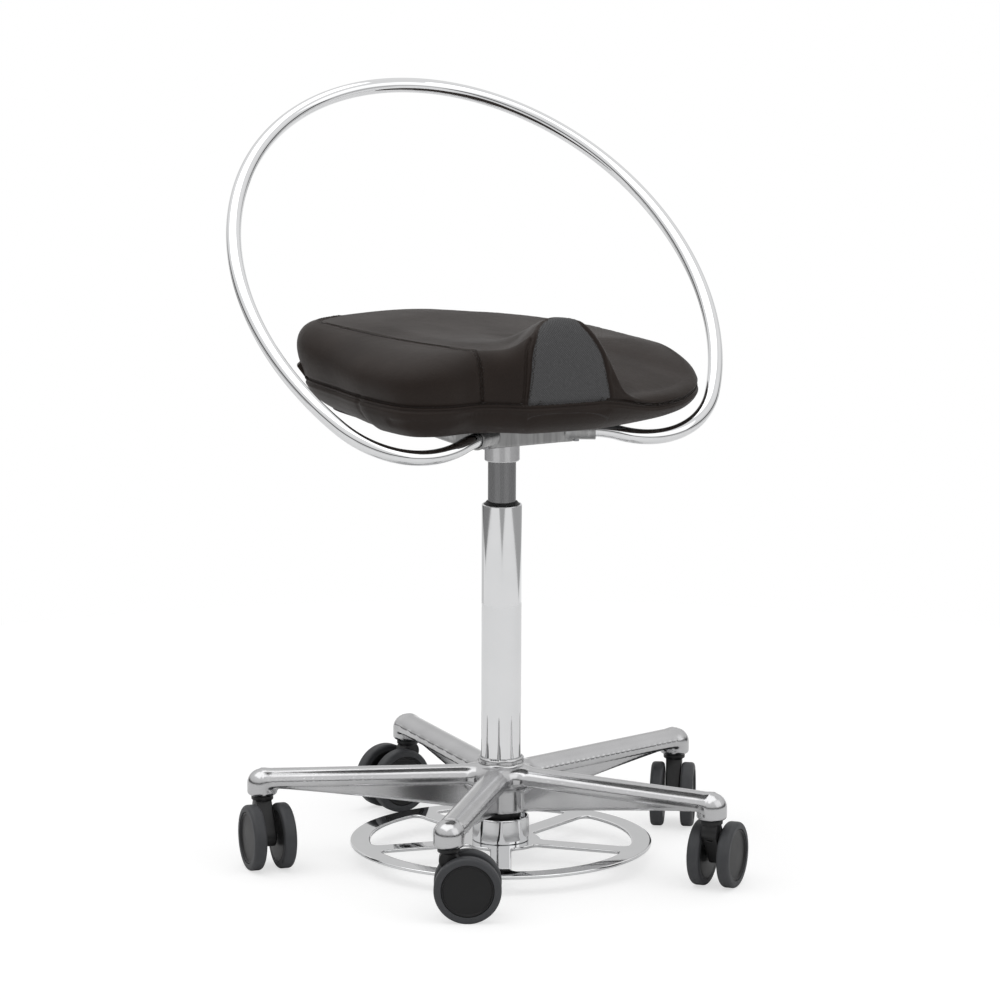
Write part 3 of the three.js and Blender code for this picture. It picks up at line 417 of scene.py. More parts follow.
def cell_faces(inside: Array, index: Array) -> Array:
    """Faces of a surface net: one for each grid edge that crosses the surface.

    Args:
        inside: whether each grid point is in the solid.
        index: the number of each cell's point, or -1.

    Returns:
        An array of quads that face outwards.
    """
    groups = []
    unit = np.eye(3, dtype=int)
    for axis in range(3):
        u, v = unit[(axis + 1) % 3], unit[(axis + 2) % 3]
        ahead = np.take(inside, range(1, inside.shape[axis]), axis)
        behind = np.take(inside, range(inside.shape[axis] - 1), axis)
        at = np.argwhere(ahead != behind)
        cells = [at - u - v, at - v, at, at - u]
        corners = np.stack([index[c[:, 0], c[:, 1], c[:, 2]] for c in cells], axis=1)
        outwards = behind[at[:, 0], at[:, 1], at[:, 2]]
        groups.append(np.where(outwards[:, None], corners, corners[:, ::-1]))
    return np.vstack(groups)


def gradient(field: Field, points: Array, reach: float = 0.05) -> Array:
    """Slope of a field at each point, from samples a little to each side."""
    steps = np.eye(3) * reach
    return np.stack([field(points + s) - field(points - s) for s in steps], axis=1) / (2 * reach)


def onto_field(field: Field, points: Array, furthest: float) -> Array:
    """Moves points along a field's slope to its surface, in three steps.

    Args:
        field: signed distance for an array of points.
        points: the points.
        furthest: how far one step may go.

    Returns:
        The moved points.
    """
    for _ in range(3):
        slope = gradient(field, points)
        length = np.maximum((slope**2).sum(1), 0.05)
        step = field(points) / length
        points = points - np.clip(step, -furthest, furthest)[:, None] * slope
    return points


def net_surface(field: Field, low: Sequence[float], high: Sequence[float], step: float) -> Surface:
    """Skins a solid given by its distance field with even quads that lie exactly on it.

    Args:
        field: signed distance for an array of points, negative inside.
        low: the lowest corner of the space that holds the solid.
        high: its highest corner.
        step: the size of a face.

    Returns:
        A closed surface.
    """
    axes = [np.arange(a, b + step, step) for a, b in zip(low, high)]
    shape = tuple(len(a) for a in axes)
    values = np.empty(shape)
    for i, x in enumerate(axes[0]):
        ys, zs = np.meshgrid(axes[1], axes[2], indexing="ij")
        slab = np.stack([np.full(ys.size, x), ys.ravel(), zs.ravel()], axis=1)
        values[i] = field(slab).reshape(shape[1:])
    inside = values < 0
    corners = [(i, j, k) for i in (0, 1) for j in (0, 1) for k in (0, 1)]

    def shifted(grid: Array, corner: tuple[int, int, int]) -> Array:
        """One corner's values for every cell."""
        return grid[tuple(slice(c, n - 1 + c) for c, n in zip(corner, shape))]

    count = sum(shifted(inside, c).astype(np.int8) for c in corners)
    active = (count > 0) & (count < 8)
    at = np.argwhere(active)
    index = np.full(active.shape, -1)
    index[active] = np.arange(len(at))
    total, crossings = np.zeros((len(at), 3)), np.zeros(len(at))
    for a in corners:
        for b in corners:
            if sum(b) != sum(a) + 1 or any(p > q for p, q in zip(a, b)):
                continue
            va, vb = shifted(values, a)[active], shifted(values, b)[active]
            crosses = (va < 0) != (vb < 0)
            share = np.where(crosses, va / np.where(crosses, va - vb, 1), 0)
            point = np.array(a) + share[:, None] * (np.array(b) - np.array(a))
            total += point * crosses[:, None]
            crossings += crosses
    points = np.array([a[0] for a in axes]) + (at + total / crossings[:, None]) * step
    quads = cell_faces(inside, index)
    points = onto_field(field, points, step)
    for _ in range(3):
        points = onto_field(field, relaxed(points, quads), step / 2)
    return Surface(points, [quads])


def relaxed(points: Array, quads: Array, share: float = 0.5) -> Array:
    """Evens a mesh out by moving each point part of the way to the middle of its neighbours.

    Args:
        points: the mesh's points.
        quads: its faces.
        share: how much of the way a point goes.

    Returns:
        The moved points.
    """
    total, count = np.zeros_like(points), np.zeros(len(points))
    for a in range(4):
        start, end = quads[:, a], quads[:, (a + 1) % 4]
        for axis in range(3):
            total[:, axis] += np.bincount(start, points[end, axis], len(points))
            total[:, axis] += np.bincount(end, points[start, axis], len(points))
        count += np.bincount(start, minlength=len(points)) + np.bincount(end, minlength=len(points))
    return mix(points, total / count[:, None], share)


def mesh_of(name: str, surface: Surface, is_smooth: bool = True) -> bpy.types.Mesh:
    """Makes a Blender mesh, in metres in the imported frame, of a surface.

    Args:
        name: the mesh's name.
        surface: its shape, in millimetres in the column's frame.
        is_smooth: whether its faces are shaded as one curved surface.

    Returns:
        The mesh.
    """
    mesh = bpy.data.meshes.new(name)
    points = placed(surface.points)
    corners = np.concatenate([group.ravel() for group in surface.faces])
    sizes = np.concatenate([np.full(len(group), group.shape[1]) for group in surface.faces])
    mesh.vertices.add(len(points))
    mesh.vertices.foreach_set("co", points.ravel())
    mesh.loops.add(len(corners))
    mesh.loops.foreach_set("vertex_index", corners)
    mesh.polygons.add(len(sizes))
    mesh.polygons.foreach_set("loop_start", np.concatenate([[0], np.cumsum(sizes)[:-1]]))
    mesh.polygons.foreach_set("use_smooth", np.full(len(sizes), is_smooth))
    mesh.update(calc_edges=True)
    mesh.validate()
    return mesh


def object_of(name: str, mesh: bpy.types.Mesh) -> bpy.types.Object:
    """Puts a mesh in the scene.

    Args:
        name: the new object's name.
        mesh: its mesh.

    Returns:
        The object.
    """
    made = bpy.data.objects.new(name, mesh)
    bpy.context.scene.collection.objects.link(made)
    return made


def add_piece(
    made: bpy.types.Object, finish: Finish, slot: Slot, body: str, replaces: Sequence[str] = ()
) -> bpy.types.Object:
    """Gives a finished mesh object its material, its body and the CAD nodes that it stands for.

    Args:
        made: the object, with its place in its mesh.
        finish: what its surface is.
        slot: the record's slot for that finish; not used.
        body: the CAD body that it rides on.
        replaces: the CAD nodes that it stands for.

    Returns:
        The object.
    """
    if not made.data.materials:
        made.data.materials.append(finish.material())
    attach(made, body)
    if replaces:
        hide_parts(*replaces)
    LOG.info("%s: %d faces on %s", made.name, len(made.data.polygons), body)
    return made


def surface_piece(
    name: str, surface: Surface, finish: Finish, slot: Slot, body: str, replaces: Sequence[str] = ()
) -> bpy.types.Object:
    """Makes a piece of a surface. See `add_piece` for the rest of its arguments."""
    return add_piece(object_of(name, mesh_of(name, surface)), finish, slot, body, replaces)


# Geometry Nodes


def node_group(name: str, lengths: Sequence[str], counts: Sequence[str] = ()) -> tuple[Tree, Node]:
    """Starts a geometry node tree with a Geometry input and output, some named sizes and a Material.

    Args:
        name: the tree's name.
        lengths: the names of its inputs that are lengths.
        counts: the names of its inputs that are whole numbers.

    Returns:
        The tree and its group input node, whose first output is the geometry.
    """
    tree = bpy.data.node_groups.new(name, "GeometryNodeTree")
    sockets = [("Geometry", "Geometry"), *((label, "Float") for label in lengths)]
    sockets += [*((label, "Int") for label in counts), ("Material", "Material")]
    for label, kind in sockets:
        tree.interface.new_socket(label, in_out="INPUT", socket_type="NodeSocket" + kind)
    tree.interface.new_socket("Geometry", in_out="OUTPUT", socket_type="NodeSocketGeometry")
    return tree, add_node(tree, "NodeGroupInput")


def end_group(tree: Tree, shape: Node, group_in: Node) -> None:
    """Ends a tree in Realize Instances and Set Material, with the material from the tree's input.

    Args:
        tree: the geometry node tree.
        shape: the node whose first output is the finished shape.
        group_in: the tree's input node.
    """
    real = add_node(tree, "GeometryNodeRealizeInstances", {0: shape})
    rounded = add_node(tree, "GeometryNodeSetShadeSmooth", {0: real})
    dressing = {"Geometry": rounded, "Material": group_in.outputs["Material"]}
    add_node(tree, "NodeGroupOutput", {0: add_node(tree, "GeometryNodeSetMaterial", dressing)})


def tube_group() -> Tree:
    """Makes the tree that runs a round bar along each line of its input.

    Returns:
        The tree.
    """
    tree, group_in = node_group("bar_along_line", ["Radius"], ["Sides"])
    line = add_node(tree, "GeometryNodeMeshToCurve", {0: group_in})
    ring = {"Resolution": group_in.outputs["Sides"], "Radius": group_in.outputs["Radius"]}
    section = add_node(tree, "GeometryNodeCurvePrimitiveCircle", ring)
    bar = {"Curve": line, "Profile Curve": section, "Fill Caps": True}
    end_group(tree, add_node(tree, "GeometryNodeCurveToMesh", bar), group_in)
    return tree


def stitch_group() -> Tree:
    """Makes the tree that sews one stitch after another along each line of its input.

    Returns:
        The tree.
    """
    tree, group_in = node_group("stitches_along_line", ["Pitch", "Length", "Thickness"])
    line = add_node(tree, "GeometryNodeMeshToCurve", {0: group_in})
    pitch = {"Curve": line, "Length": group_in.outputs["Pitch"]}
    spaced = add_node(tree, "GeometryNodeResampleCurve", pitch, mode="LENGTH")
    bead = add_node(tree, "GeometryNodeMeshUVSphere", {"Segments": 8, "Rings": 6, "Radius": 0.5})
    heading = add_node(tree, "GeometryNodeInputTangent")
    turn = add_node(tree, "FunctionNodeAlignRotationToVector", {"Vector": heading}, axis="Z")
    thick, long = group_in.outputs["Thickness"], group_in.outputs["Length"]
    size = add_node(tree, "ShaderNodeCombineXYZ", {0: thick, 1: thick, 2: long})
    sewn = {"Points": spaced, "Instance": bead, "Rotation": turn, "Scale": size}
    end_group(tree, add_node(tree, "GeometryNodeInstanceOnPoints", sewn), group_in)
    return tree


def screw_group() -> Tree:
    """Makes the tree that stands a socket-head screw on each point of its input, its head downwards.

    Returns:
        The tree.
    """
    tree, group_in = node_group("screws_on_points", ["Head radius", "Head height", "Socket radius"])
    height = group_in.outputs["Head height"]
    round_head = {"Vertices": 32, "Radius": group_in.outputs["Head radius"], "Depth": height}
    hexagon = {"Vertices": 6, "Radius": group_in.outputs["Socket radius"], "Depth": height}
    head, socket = (add_node(tree, "GeometryNodeMeshCylinder", sizes) for sizes in (round_head, hexagon))
    half = add_node(tree, "ShaderNodeMath", {0: height, 1: -0.5}, operation="MULTIPLY")
    down = add_node(tree, "ShaderNodeCombineXYZ", {2: half})
    lowered = add_node(tree, "GeometryNodeTransform", {"Geometry": socket, "Translation": down})
    cut = {"Mesh 1": head, "Mesh 2": lowered}
    bored = add_node(tree, "GeometryNodeMeshBoolean", cut, operation="DIFFERENCE")
    stood = {"Points": group_in, "Instance": bored}
    end_group(tree, add_node(tree, "GeometryNodeInstanceOnPoints", stood), group_in)
    return tree


def grown(
    name: str, source: bpy.types.Mesh, tree: Tree, finish: Finish, values: dict[str, float | int]
) -> bpy.types.Object:
    """Runs a geometry node tree on a mesh and keeps the result as a plain mesh.

    Args:
        name: the new object's name.
        source: the mesh that the tree starts from.
        tree: the geometry node tree.
        finish: what the surface is.
        values: the tree's lengths, in millimetres, and its counts, by name.

    Returns:
        A mesh object with no modifier.
    """
    carrier = object_of(name + "_source", source)
    modifier = carrier.modifiers.new("grow", "NODES")
    modifier.node_group = tree
    sockets = {item.name: item.identifier for item in tree.interface.items_tree if item.in_out == "INPUT"}
    for label, value in values.items():
        modifier[sockets[label]] = value * MILLIMETRE if isinstance(value, float) else value
    modifier[sockets["Material"]] = finish.material()
    graph = bpy.context.evaluated_depsgraph_get()
    mesh = bpy.data.meshes.new_from_object(carrier.evaluated_get(graph), depsgraph=graph)
    carrier.modifiers.clear()
    bpy.data.objects.remove(carrier)
    mesh.name = name
    return object_of(name, mesh)


def line_mesh(name: str, lines: Sequence[Array]) -> bpy.types.Mesh:
    """Makes a mesh of bare edges along lines of points.

    Args:
        name: the mesh's name.
        lines: the lines, in millimetres in the column's frame; a line of one point is a bare point.

    Returns:
        The mesh.
    """
    points, edges = [], []
    for line in lines:
        start = len(points)
        points += [tuple(p) for p in placed(line)]
        edges += [(start + i, start + i + 1) for i in range(len(line) - 1)]
    mesh = bpy.data.meshes.new(name)
    mesh.from_pydata(points, edges, [])
    return mesh


# Finishes


@dataclass(frozen=True)
class Finish:
    """A surface's colour and gloss, with fine grain on it. Grain sizes are in millimetres."""

    name: str
    colour: str
    shade: str
    roughness: float
    roughness_spread: float = 0.05
    metallic: float = 0.0
    patch: float = 30.0
    grain: float = 0.6
    grain_depth: float = 0.02
    specular: float = 0.5

    def material(self) -> bpy.types.Material:
        """Gives this finish's material, which is made on its first use.

        Returns:
            The material.
        """
        found = bpy.data.materials.get(self.name)
        if found:
            return found
        made = bpy.data.materials.new(self.name)
        made.use_nodes = True
        tree = made.node_tree
        tree.nodes.clear()
        place = add_node(tree, "ShaderNodeTexCoord").outputs["Object"]
        shader = add_node(tree, "ShaderNodeBsdfPrincipled", {"Metallic": self.metallic})
        if not self.metallic:
            shader.inputs["Specular IOR Level"].default_value = self.specular
        self.dress(tree, place, shader)
        add_node(tree, "ShaderNodeOutputMaterial", {0: shader})
        return made

    def dress(self, tree: Tree, place: Socket, shader: Node) -> None:
        """Feeds the shader with this finish's colour, gloss and relief.

        Args:
            tree: the material's node tree.
            place: the output that gives the place on the object.
            shader: the material's shader node.
        """
        self.wear(tree, self.tone(tree, place, shader), shader)
        fine = {"Vector": place, "Scale": 1 / (self.grain * MILLIMETRE), "Detail": 2}
        self.emboss(tree, add_node(tree, "ShaderNodeTexNoise", fine).outputs["Fac"], shader)

    def tone(self, tree: Tree, place: Socket | Node, shader: Node) -> Socket:
        """Lets the colour drift between its two tones. Its arguments are those of `dress`.

        Returns:
            The output that drifts.
        """
        wide = {"Vector": place, "Scale": 1 / (self.patch * MILLIMETRE), "Detail": 3}
        patches = add_node(tree, "ShaderNodeTexNoise", wide).outputs["Fac"]
        tones = {0: patches, 6: linear_colour(self.colour), 7: linear_colour(self.shade)}
        colour = add_node(tree, "ShaderNodeMix", tones, data_type="RGBA")
        tree.links.new(colour.outputs[2], shader.inputs["Base Color"])
        return patches

    def wear(self, tree: Tree, share: Socket, shader: Node) -> None:
        """Lets the roughness drift about its middle value.

        Args:
            tree: the material's node tree.
            share: the output that drifts.
            shader: the material's shader node.
        """
        ends = {"To Min": self.roughness - self.roughness_spread, "To Max": self.roughness + self.roughness_spread}
        made = add_node(tree, "ShaderNodeMapRange", {"Value": share, **ends})
        tree.links.new(made.outputs[0], shader.inputs["Roughness"])

    def emboss(self, tree: Tree, height: Socket, shader: Node) -> None:
        """Raises the surface by a height that runs from 0 to 1 over the grain's depth.

        Args:
            tree: the material's node tree.
            height: the output that gives the height.
            shader: the material's shader node.
        """
        relief = add_node(tree, "ShaderNodeBump", {"Height": height, "Distance": self.grain_depth * MILLIMETRE})
        tree.links.new(relief.outputs[0], shader.inputs["Normal"])


@dataclass(frozen=True)
class Plating(Finish):
    """Bright nickel and chromium on drawn steel: a cool mirror with only a breath of haze in it."""

    metallic: float = 1.0

    def dress(self, tree: Tree, place: Socket, shader: Node) -> None:
        """Keeps the mirror smooth, with a faint haze that comes and goes."""
        self.wear(tree, self.tone(tree, place, shader), shader)


@dataclass(frozen=True)
class Brushed(Finish):
    """Ground steel: fine lines along the bar that stretch each reflection across it."""

    metallic: float = 1.0
    line_length: float = 60.0

    def dress(self, tree: Tree, place: Socket, shader: Node) -> None:
        """Stretches the grain along the z axis. Its arguments are those of `Finish.dress`."""
        along = {"Vector": place, "Scale": (1, 1, self.patch / self.line_length)}
        lines = self.tone(tree, add_node(tree, "ShaderNodeMapping", along), shader)
        self.wear(tree, lines, shader)
        self.emboss(tree, lines, shader)


@dataclass(frozen=True)
class Upholstery(Finish):
    """Coated split leather with a fine pebble grain, and a woven grip panel where the mesh says so.

    The mesh carries the signed distance into the panel, in millimetres, as an attribute. The real threads
    are too fine to show, so they are drawn about three times as thick.
    """

    crease: float = 9.0
    crease_depth: float = 0.25
    pebble_top: float = 0.25
    panel_colour: str = "#686869"
    panel_shade: str = "#404041"
    panel_roughness: float = 0.78
    panel_attribute: str = "grip_panel"
    panel_blur: float = 0.3
    thread: float = 2.4
    thread_depth: float = 0.25
    fuzz_share: float = 1.3

    def dress(self, tree: Tree, place: Socket, shader: Node) -> None:
        """Mixes the leather and the woven panel at the panel's edge. See `Finish.dress` for its arguments."""
        panel = add_node(tree, "ShaderNodeAttribute", attribute_name=self.panel_attribute).outputs["Fac"]
        edge = {"Value": panel, "From Min": -self.panel_blur, "From Max": self.panel_blur}
        inside = add_node(tree, "ShaderNodeMapRange", edge)
        patches = self.tone(tree, place, shader)
        leather = shader.inputs["Base Color"].links[0].from_socket
        weave = self.weave(tree, place)
        threads = {0: weave, 6: linear_colour(self.panel_shade), 7: linear_colour(self.panel_colour)}
        cloth = add_node(tree, "ShaderNodeMix", threads, data_type="RGBA").outputs[2]
        both = add_node(tree, "ShaderNodeMix", {0: inside, 6: leather, 7: cloth}, data_type="RGBA")
        tree.links.new(both.outputs[2], shader.inputs["Base Color"])
        self.wear(tree, patches, shader)
        worn = shader.inputs["Roughness"].links[0].from_socket
        gloss = add_node(tree, "ShaderNodeMix", {0: inside, 2: worn, 3: self.panel_roughness})
        tree.links.new(gloss.outputs[0], shader.inputs["Roughness"])
        grain = {"Vector": place, "Scale": 1 / (self.grain * MILLIMETRE)}
        pebbles = add_node(tree, "ShaderNodeTexVoronoi", grain, feature="DISTANCE_TO_EDGE").outputs["Distance"]
        pebble = add_node(tree, "ShaderNodeMapRange", {"Value": pebbles, "From Max": self.pebble_top})
        folds = {"Vector": place, "Scale": 1 / (self.crease * MILLIMETRE), "Detail": 3}
        creases = add_node(tree, "ShaderNodeTexNoise", folds).outputs["Fac"]
        weighed = {0: creases, 1: self.crease_depth / self.grain_depth, 2: pebble}
        hide = add_node(tree, "ShaderNodeMath", weighed, operation="MULTIPLY_ADD")
        lift = {0: weave, 1: self.thread_depth / self.grain_depth}
        scaled = add_node(tree, "ShaderNodeMath", lift, operation="MULTIPLY")
        height = add_node(tree, "ShaderNodeMix", {0: inside, 2: hide, 3: scaled})
        self.emboss(tree, height.outputs[0], shader)

    def weave(self, tree: Tree, place: Socket) -> Node:
        """Crosses one set of threads along x with one up the panel.

        Args:
            tree: the material's node tree.
            place: the output that gives the place on the object.

        Returns:
            The node whose output is 1 on top of a thread.
        """
        rate = 2 * math.pi / (self.thread * MILLIMETRE)
        parts = add_node(tree, "ShaderNodeSeparateXYZ", {0: place})
        waves = []
        for axis in (0, 2):
            turn = add_node(tree, "ShaderNodeMath", {0: parts.outputs[axis], 1: rate}, operation="MULTIPLY")
            waves.append(add_node(tree, "ShaderNodeMath", {0: turn}, operation="SINE"))
        crossed = add_node(tree, "ShaderNodeMath", {0: waves[0], 1: waves[1]}, operation="MULTIPLY")
        even = add_node(tree, "ShaderNodeMapRange", {"Value": crossed, "From Min": -1, "From Max": 1})
        fibres = {"Vector": place, "Scale": self.fuzz_share / (self.thread * MILLIMETRE), "Detail": 2}
        fuzz = add_node(tree, "ShaderNodeTexNoise", fibres).outputs["Fac"]
        return add_node(tree, "ShaderNodeMath", {0: even, 1: fuzz}, operation="MULTIPLY")


# Drawn steel tube under bright nickel and chromium: clear reflections with the faintest haze.
CHROME = Plating("bright_chrome_plating", "#E6E6E7", "#DADBDC", 0.028, 0.012, patch=45)
# Die-cast aluminium, ground and buffed on a wheel: bright, but each reflection is a little soft.
BUFFED = Finish("buffed_cast_aluminium", "#C6C6C7", "#B4B4B5", 0.2, 0.05, 1.0, 35, 8, 0.012)
# Tumbled aluminium casting, left as it is: pale satin with a sandy skin.
TUMBLED = Finish("tumbled_aluminium_casting", "#B4B4B4", "#9A9A9B", 0.34, 0.06, 1.0, 14, 0.9, 0.04)
# Centreless-ground steel tube, bare: mid grey, with every reflection drawn out along its length.
GROUND = Brushed("ground_spring_steel", "#868687", "#767677", 0.27, 0.05, patch=0.5, grain_depth=0.006)
# The seat plate's casting, filed along its edge: satin, with upright streaks of light and dark.
FILED = Brushed("filed_aluminium_casting", "#B4B4B4", "#707070", 0.3, 0.06, patch=4, grain_depth=0.02)
# Turned mild steel under thin clear zinc: grey, duller than chrome.
TURNED_STEEL = Finish("zinc_plated_steel", "#A9AAAC", "#929396", 0.32, 0.06, 1.0, 6, 0.7, 0.015)
# Glass-filled nylon from a spark-eroded mould: near black, with a fine matt grain.
NYLON = Finish("moulded_black_nylon", "#131314", "#19191A", 0.42, 0.06, 0.0, 20, 0.8, 0.03, 0.4)
# The wheels' nylon cores, a shade lighter and smoother than the housings.
WHEEL_NYLON = Finish("moulded_wheel_nylon", "#0E0E0F", "#141415", 0.42, 0.05, 0.0, 16, 0.8, 0.02, 0.35)
# Soft grey polyurethane, poured onto the wheels: an even satin that dulls where it rolls.
TREAD = Finish("grey_polyurethane", "#3F4042", "#36373A", 0.55, 0.08, 0.0, 12, 0.9, 0.03, 0.4)
# Natural acetal: milky white and slightly waxy.
ACETAL = Finish("moulded_white_acetal", "#E6E5DF", "#DEDDD6", 0.35, 0.04, 0.0, 15, 0.8, 0.01)
# Nitrile rubber: soft black that takes little light.
RUBBER = Finish("moulded_nitrile_rubber", "#161617", "#1E1E1F", 0.5, 0.07, 0.0, 8, 0.7, 0.03)
# Bonded nylon thread, dyed to match the leather; its colour is painted a shade lighter as a painted sheen.
THREAD = Finish("bonded_nylon_thread", "#2A2522", "#1F1B19", 0.5, 0.05, 0.0, 5, 0.4, 0.03, 0.3)
# Black-brown coated split leather: dull in the hollows, with a soft shine over its fine pebbles.
HIDE = Upholstery(
    "coated_split_leather", "#2A211C", "#1D1714", 0.5, 0.07, 0.0, 55, 1.7, 0.07, 0.18
)
NODE_FINISHES = {
    Slot.POLISHED_ALUMINIUM: BUFFED,
    Slot.CAST_ALUMINIUM: TUMBLED,
    Slot.CHROME: CHROME,
    Slot.SATIN_STEEL: GROUND,
    Slot.PLAIN_STEEL: TURNED_STEEL,
    Slot.BLACK_PLASTIC: NYLON,
    Slot.WHITE_ACETAL: ACETAL,
    Slot.BLACK_RUBBER: RUBBER,
    Slot.GREY_TREAD: TREAD,
    Slot.WHEEL_NYLON: WHEEL_NYLON,
    Slot.UPHOLSTERY: HIDE,
}
# A light, stretchy cloth that is blown up from inside.
CLOTH = {
    "quality": 5, "mass": 0.3, "tension_stiffness": 25, "compression_stiffness": 25, "shear_stiffness": 10,
    "bending_stiffness": 2, "use_pressure": True, "uniform_pressure_force": 4, "vertex_group_mass": "sewn",
}
CASTOR_HEADINGS = (236.6, 187.0, 260.6, 332.0, 40.8)  # degrees, read off the photograph


# Sub-assemblies


@dataclass
class StarBase:
    """The five-armed base: half-round bars on tapering webs, a domed boss at each tip and a flared hub."""

    arms: int = 5
    turn_deg: float = 13.9
    reach: float = 240.0
    top: float = 98.0
    bar_height: float = 17.0
    bar_half: float = 14.5
    bar_rounds: tuple = (2.5, 13.0)
    web_half_hub: float = 3.0
    web_half_tip: float = 3.5
    web_depth_hub: float = 29.5
    web_depth_tip: float = 3.0
    web_power: float = 1.15
    web_short: float = 8.0
    web_sunk: float = 4.0
    web_rounds: tuple = (2.5, 0.5)
    web_fillet: float = 2.0
    boss_radius: float = 15.0
    boss_bottom: float = 71.7
    boss_rounds: tuple = (3.5, 14.4)
    boss_fillet: float = 3.0
    arm_fillet: float = 7.0
    hub_radius: float = 23.0
    hub_draft: float = 3.2
    hub_draft_span: tuple = (0.25, 0.5)
    hub_bottom: float = 51.5
    hub_top: float = 107.0
    hub_rounds: tuple = (1.0, 2.4)
    hub_fillet: float = 2.5
    flare_radius: float = 32.5
    flare_bottom: float = 77.0
    flare_top: float = 97.0
    flare_round: float = 8.0
    bore_radius: float = 20.3
    bore_bottom: float = 54.5
    bore_round: float = 0.6
    lower_bore_radius: float = 12.0
    stem_bore_radius: float = 5.8
    stem_bore_top: float = 90.0
    face: float = 1.7

    def arm_angle(self, index: int) -> float:
        """The heading of one arm, in radians."""
        return math.radians(self.turn_deg + index * 360 / self.arms)

    def arm(self, along: Array, side: Array, z: Array) -> Array:
        """Finds the distance to one arm with its boss.

        Args:
            along: how far out along the arm each point is.
            side: how far it is to the arm's side.
            z: its height.

        Returns:
            The signed distances, negative inside.
        """
        bar_bottom = self.top - self.bar_height
        bar = rounded_box(side, z, self.bar_half, bar_bottom, self.top, self.bar_rounds)
        bar = np.maximum(bar, np.maximum(along - self.reach, -along))
        share = np.clip((along - self.hub_radius) / (self.reach - self.web_short - self.hub_radius), 0, 1)
        half = mix(self.web_half_hub, self.web_half_tip, share)
        depth = mix(self.web_depth_tip, self.web_depth_hub, (1 - share) ** self.web_power)
        web = rounded_box(side, z, half, bar_bottom - depth, bar_bottom + self.web_sunk, self.web_rounds)
        web = np.maximum(web, np.maximum(along - self.reach + self.web_short, -along))
        out = np.hypot(along - self.reach, side)
        boss = rounded_box(out, z, self.boss_radius, self.boss_bottom, self.top, self.boss_rounds)
        return melt(melt(bar, web, self.web_fillet), boss, self.boss_fillet)

    def field(self, points: Array) -> Array:
        """Finds the distance to the casting's surface, from the two arms nearest to each point.

        Args:
            points: the points.

        Returns:
            The signed distances, negative inside.
        """
        x, y, z = points.T
        radius, sector = np.hypot(x, y), 2 * math.pi / self.arms
        angle = np.arctan2(y, x) - math.radians(self.turn_deg)
        angle = np.abs((angle + sector / 2) % sector - sector / 2)
        along, side = radius * np.cos(angle), radius * np.sin(angle)
        nearest = self.arm(along, side, z)
        other = self.arm(radius * np.cos(sector - angle), radius * np.sin(sector - angle), z)
        rounds = (self.flare_round, self.flare_round)
        flare = rounded_box(radius, z, self.flare_radius, self.flare_bottom, self.flare_top, rounds)
        drop = np.clip((self.hub_top - z) / (self.hub_top - self.hub_bottom), 0, 1)
        hub = radius - self.hub_draft * smooth(*self.hub_draft_span, drop)
        hub = rounded_box(hub, z, self.hub_radius, self.hub_bottom, self.hub_top, self.hub_rounds)
        body = melt(melt(nearest, other, self.arm_fillet), flare, self.flare_round)
        body = melt(body, hub, self.hub_fillet)
        bore = np.maximum(radius - self.bore_radius, self.bore_bottom - z)
        lower = np.maximum(radius - self.lower_bore_radius, z - self.bore_bottom - 1)
        stem = np.maximum(np.hypot(along - self.reach, side) - self.stem_bore_radius, z - self.stem_bore_top)
        return carve(body, np.minimum(np.minimum(bore, lower), stem), self.bore_round)

    def build(self) -> None:
        """Makes the casting, which stands for the faceted one."""
        span = self.reach + self.boss_radius + ROOM
        low, high = (-span, -span, self.hub_bottom - ROOM), (span, span, self.hub_top + ROOM)
        surface = net_surface(self.field, low, high, self.face)
        surface_piece("star_base", surface, BUFFED, Slot.POLISHED_ALUMINIUM, "base", ["base_spider"])


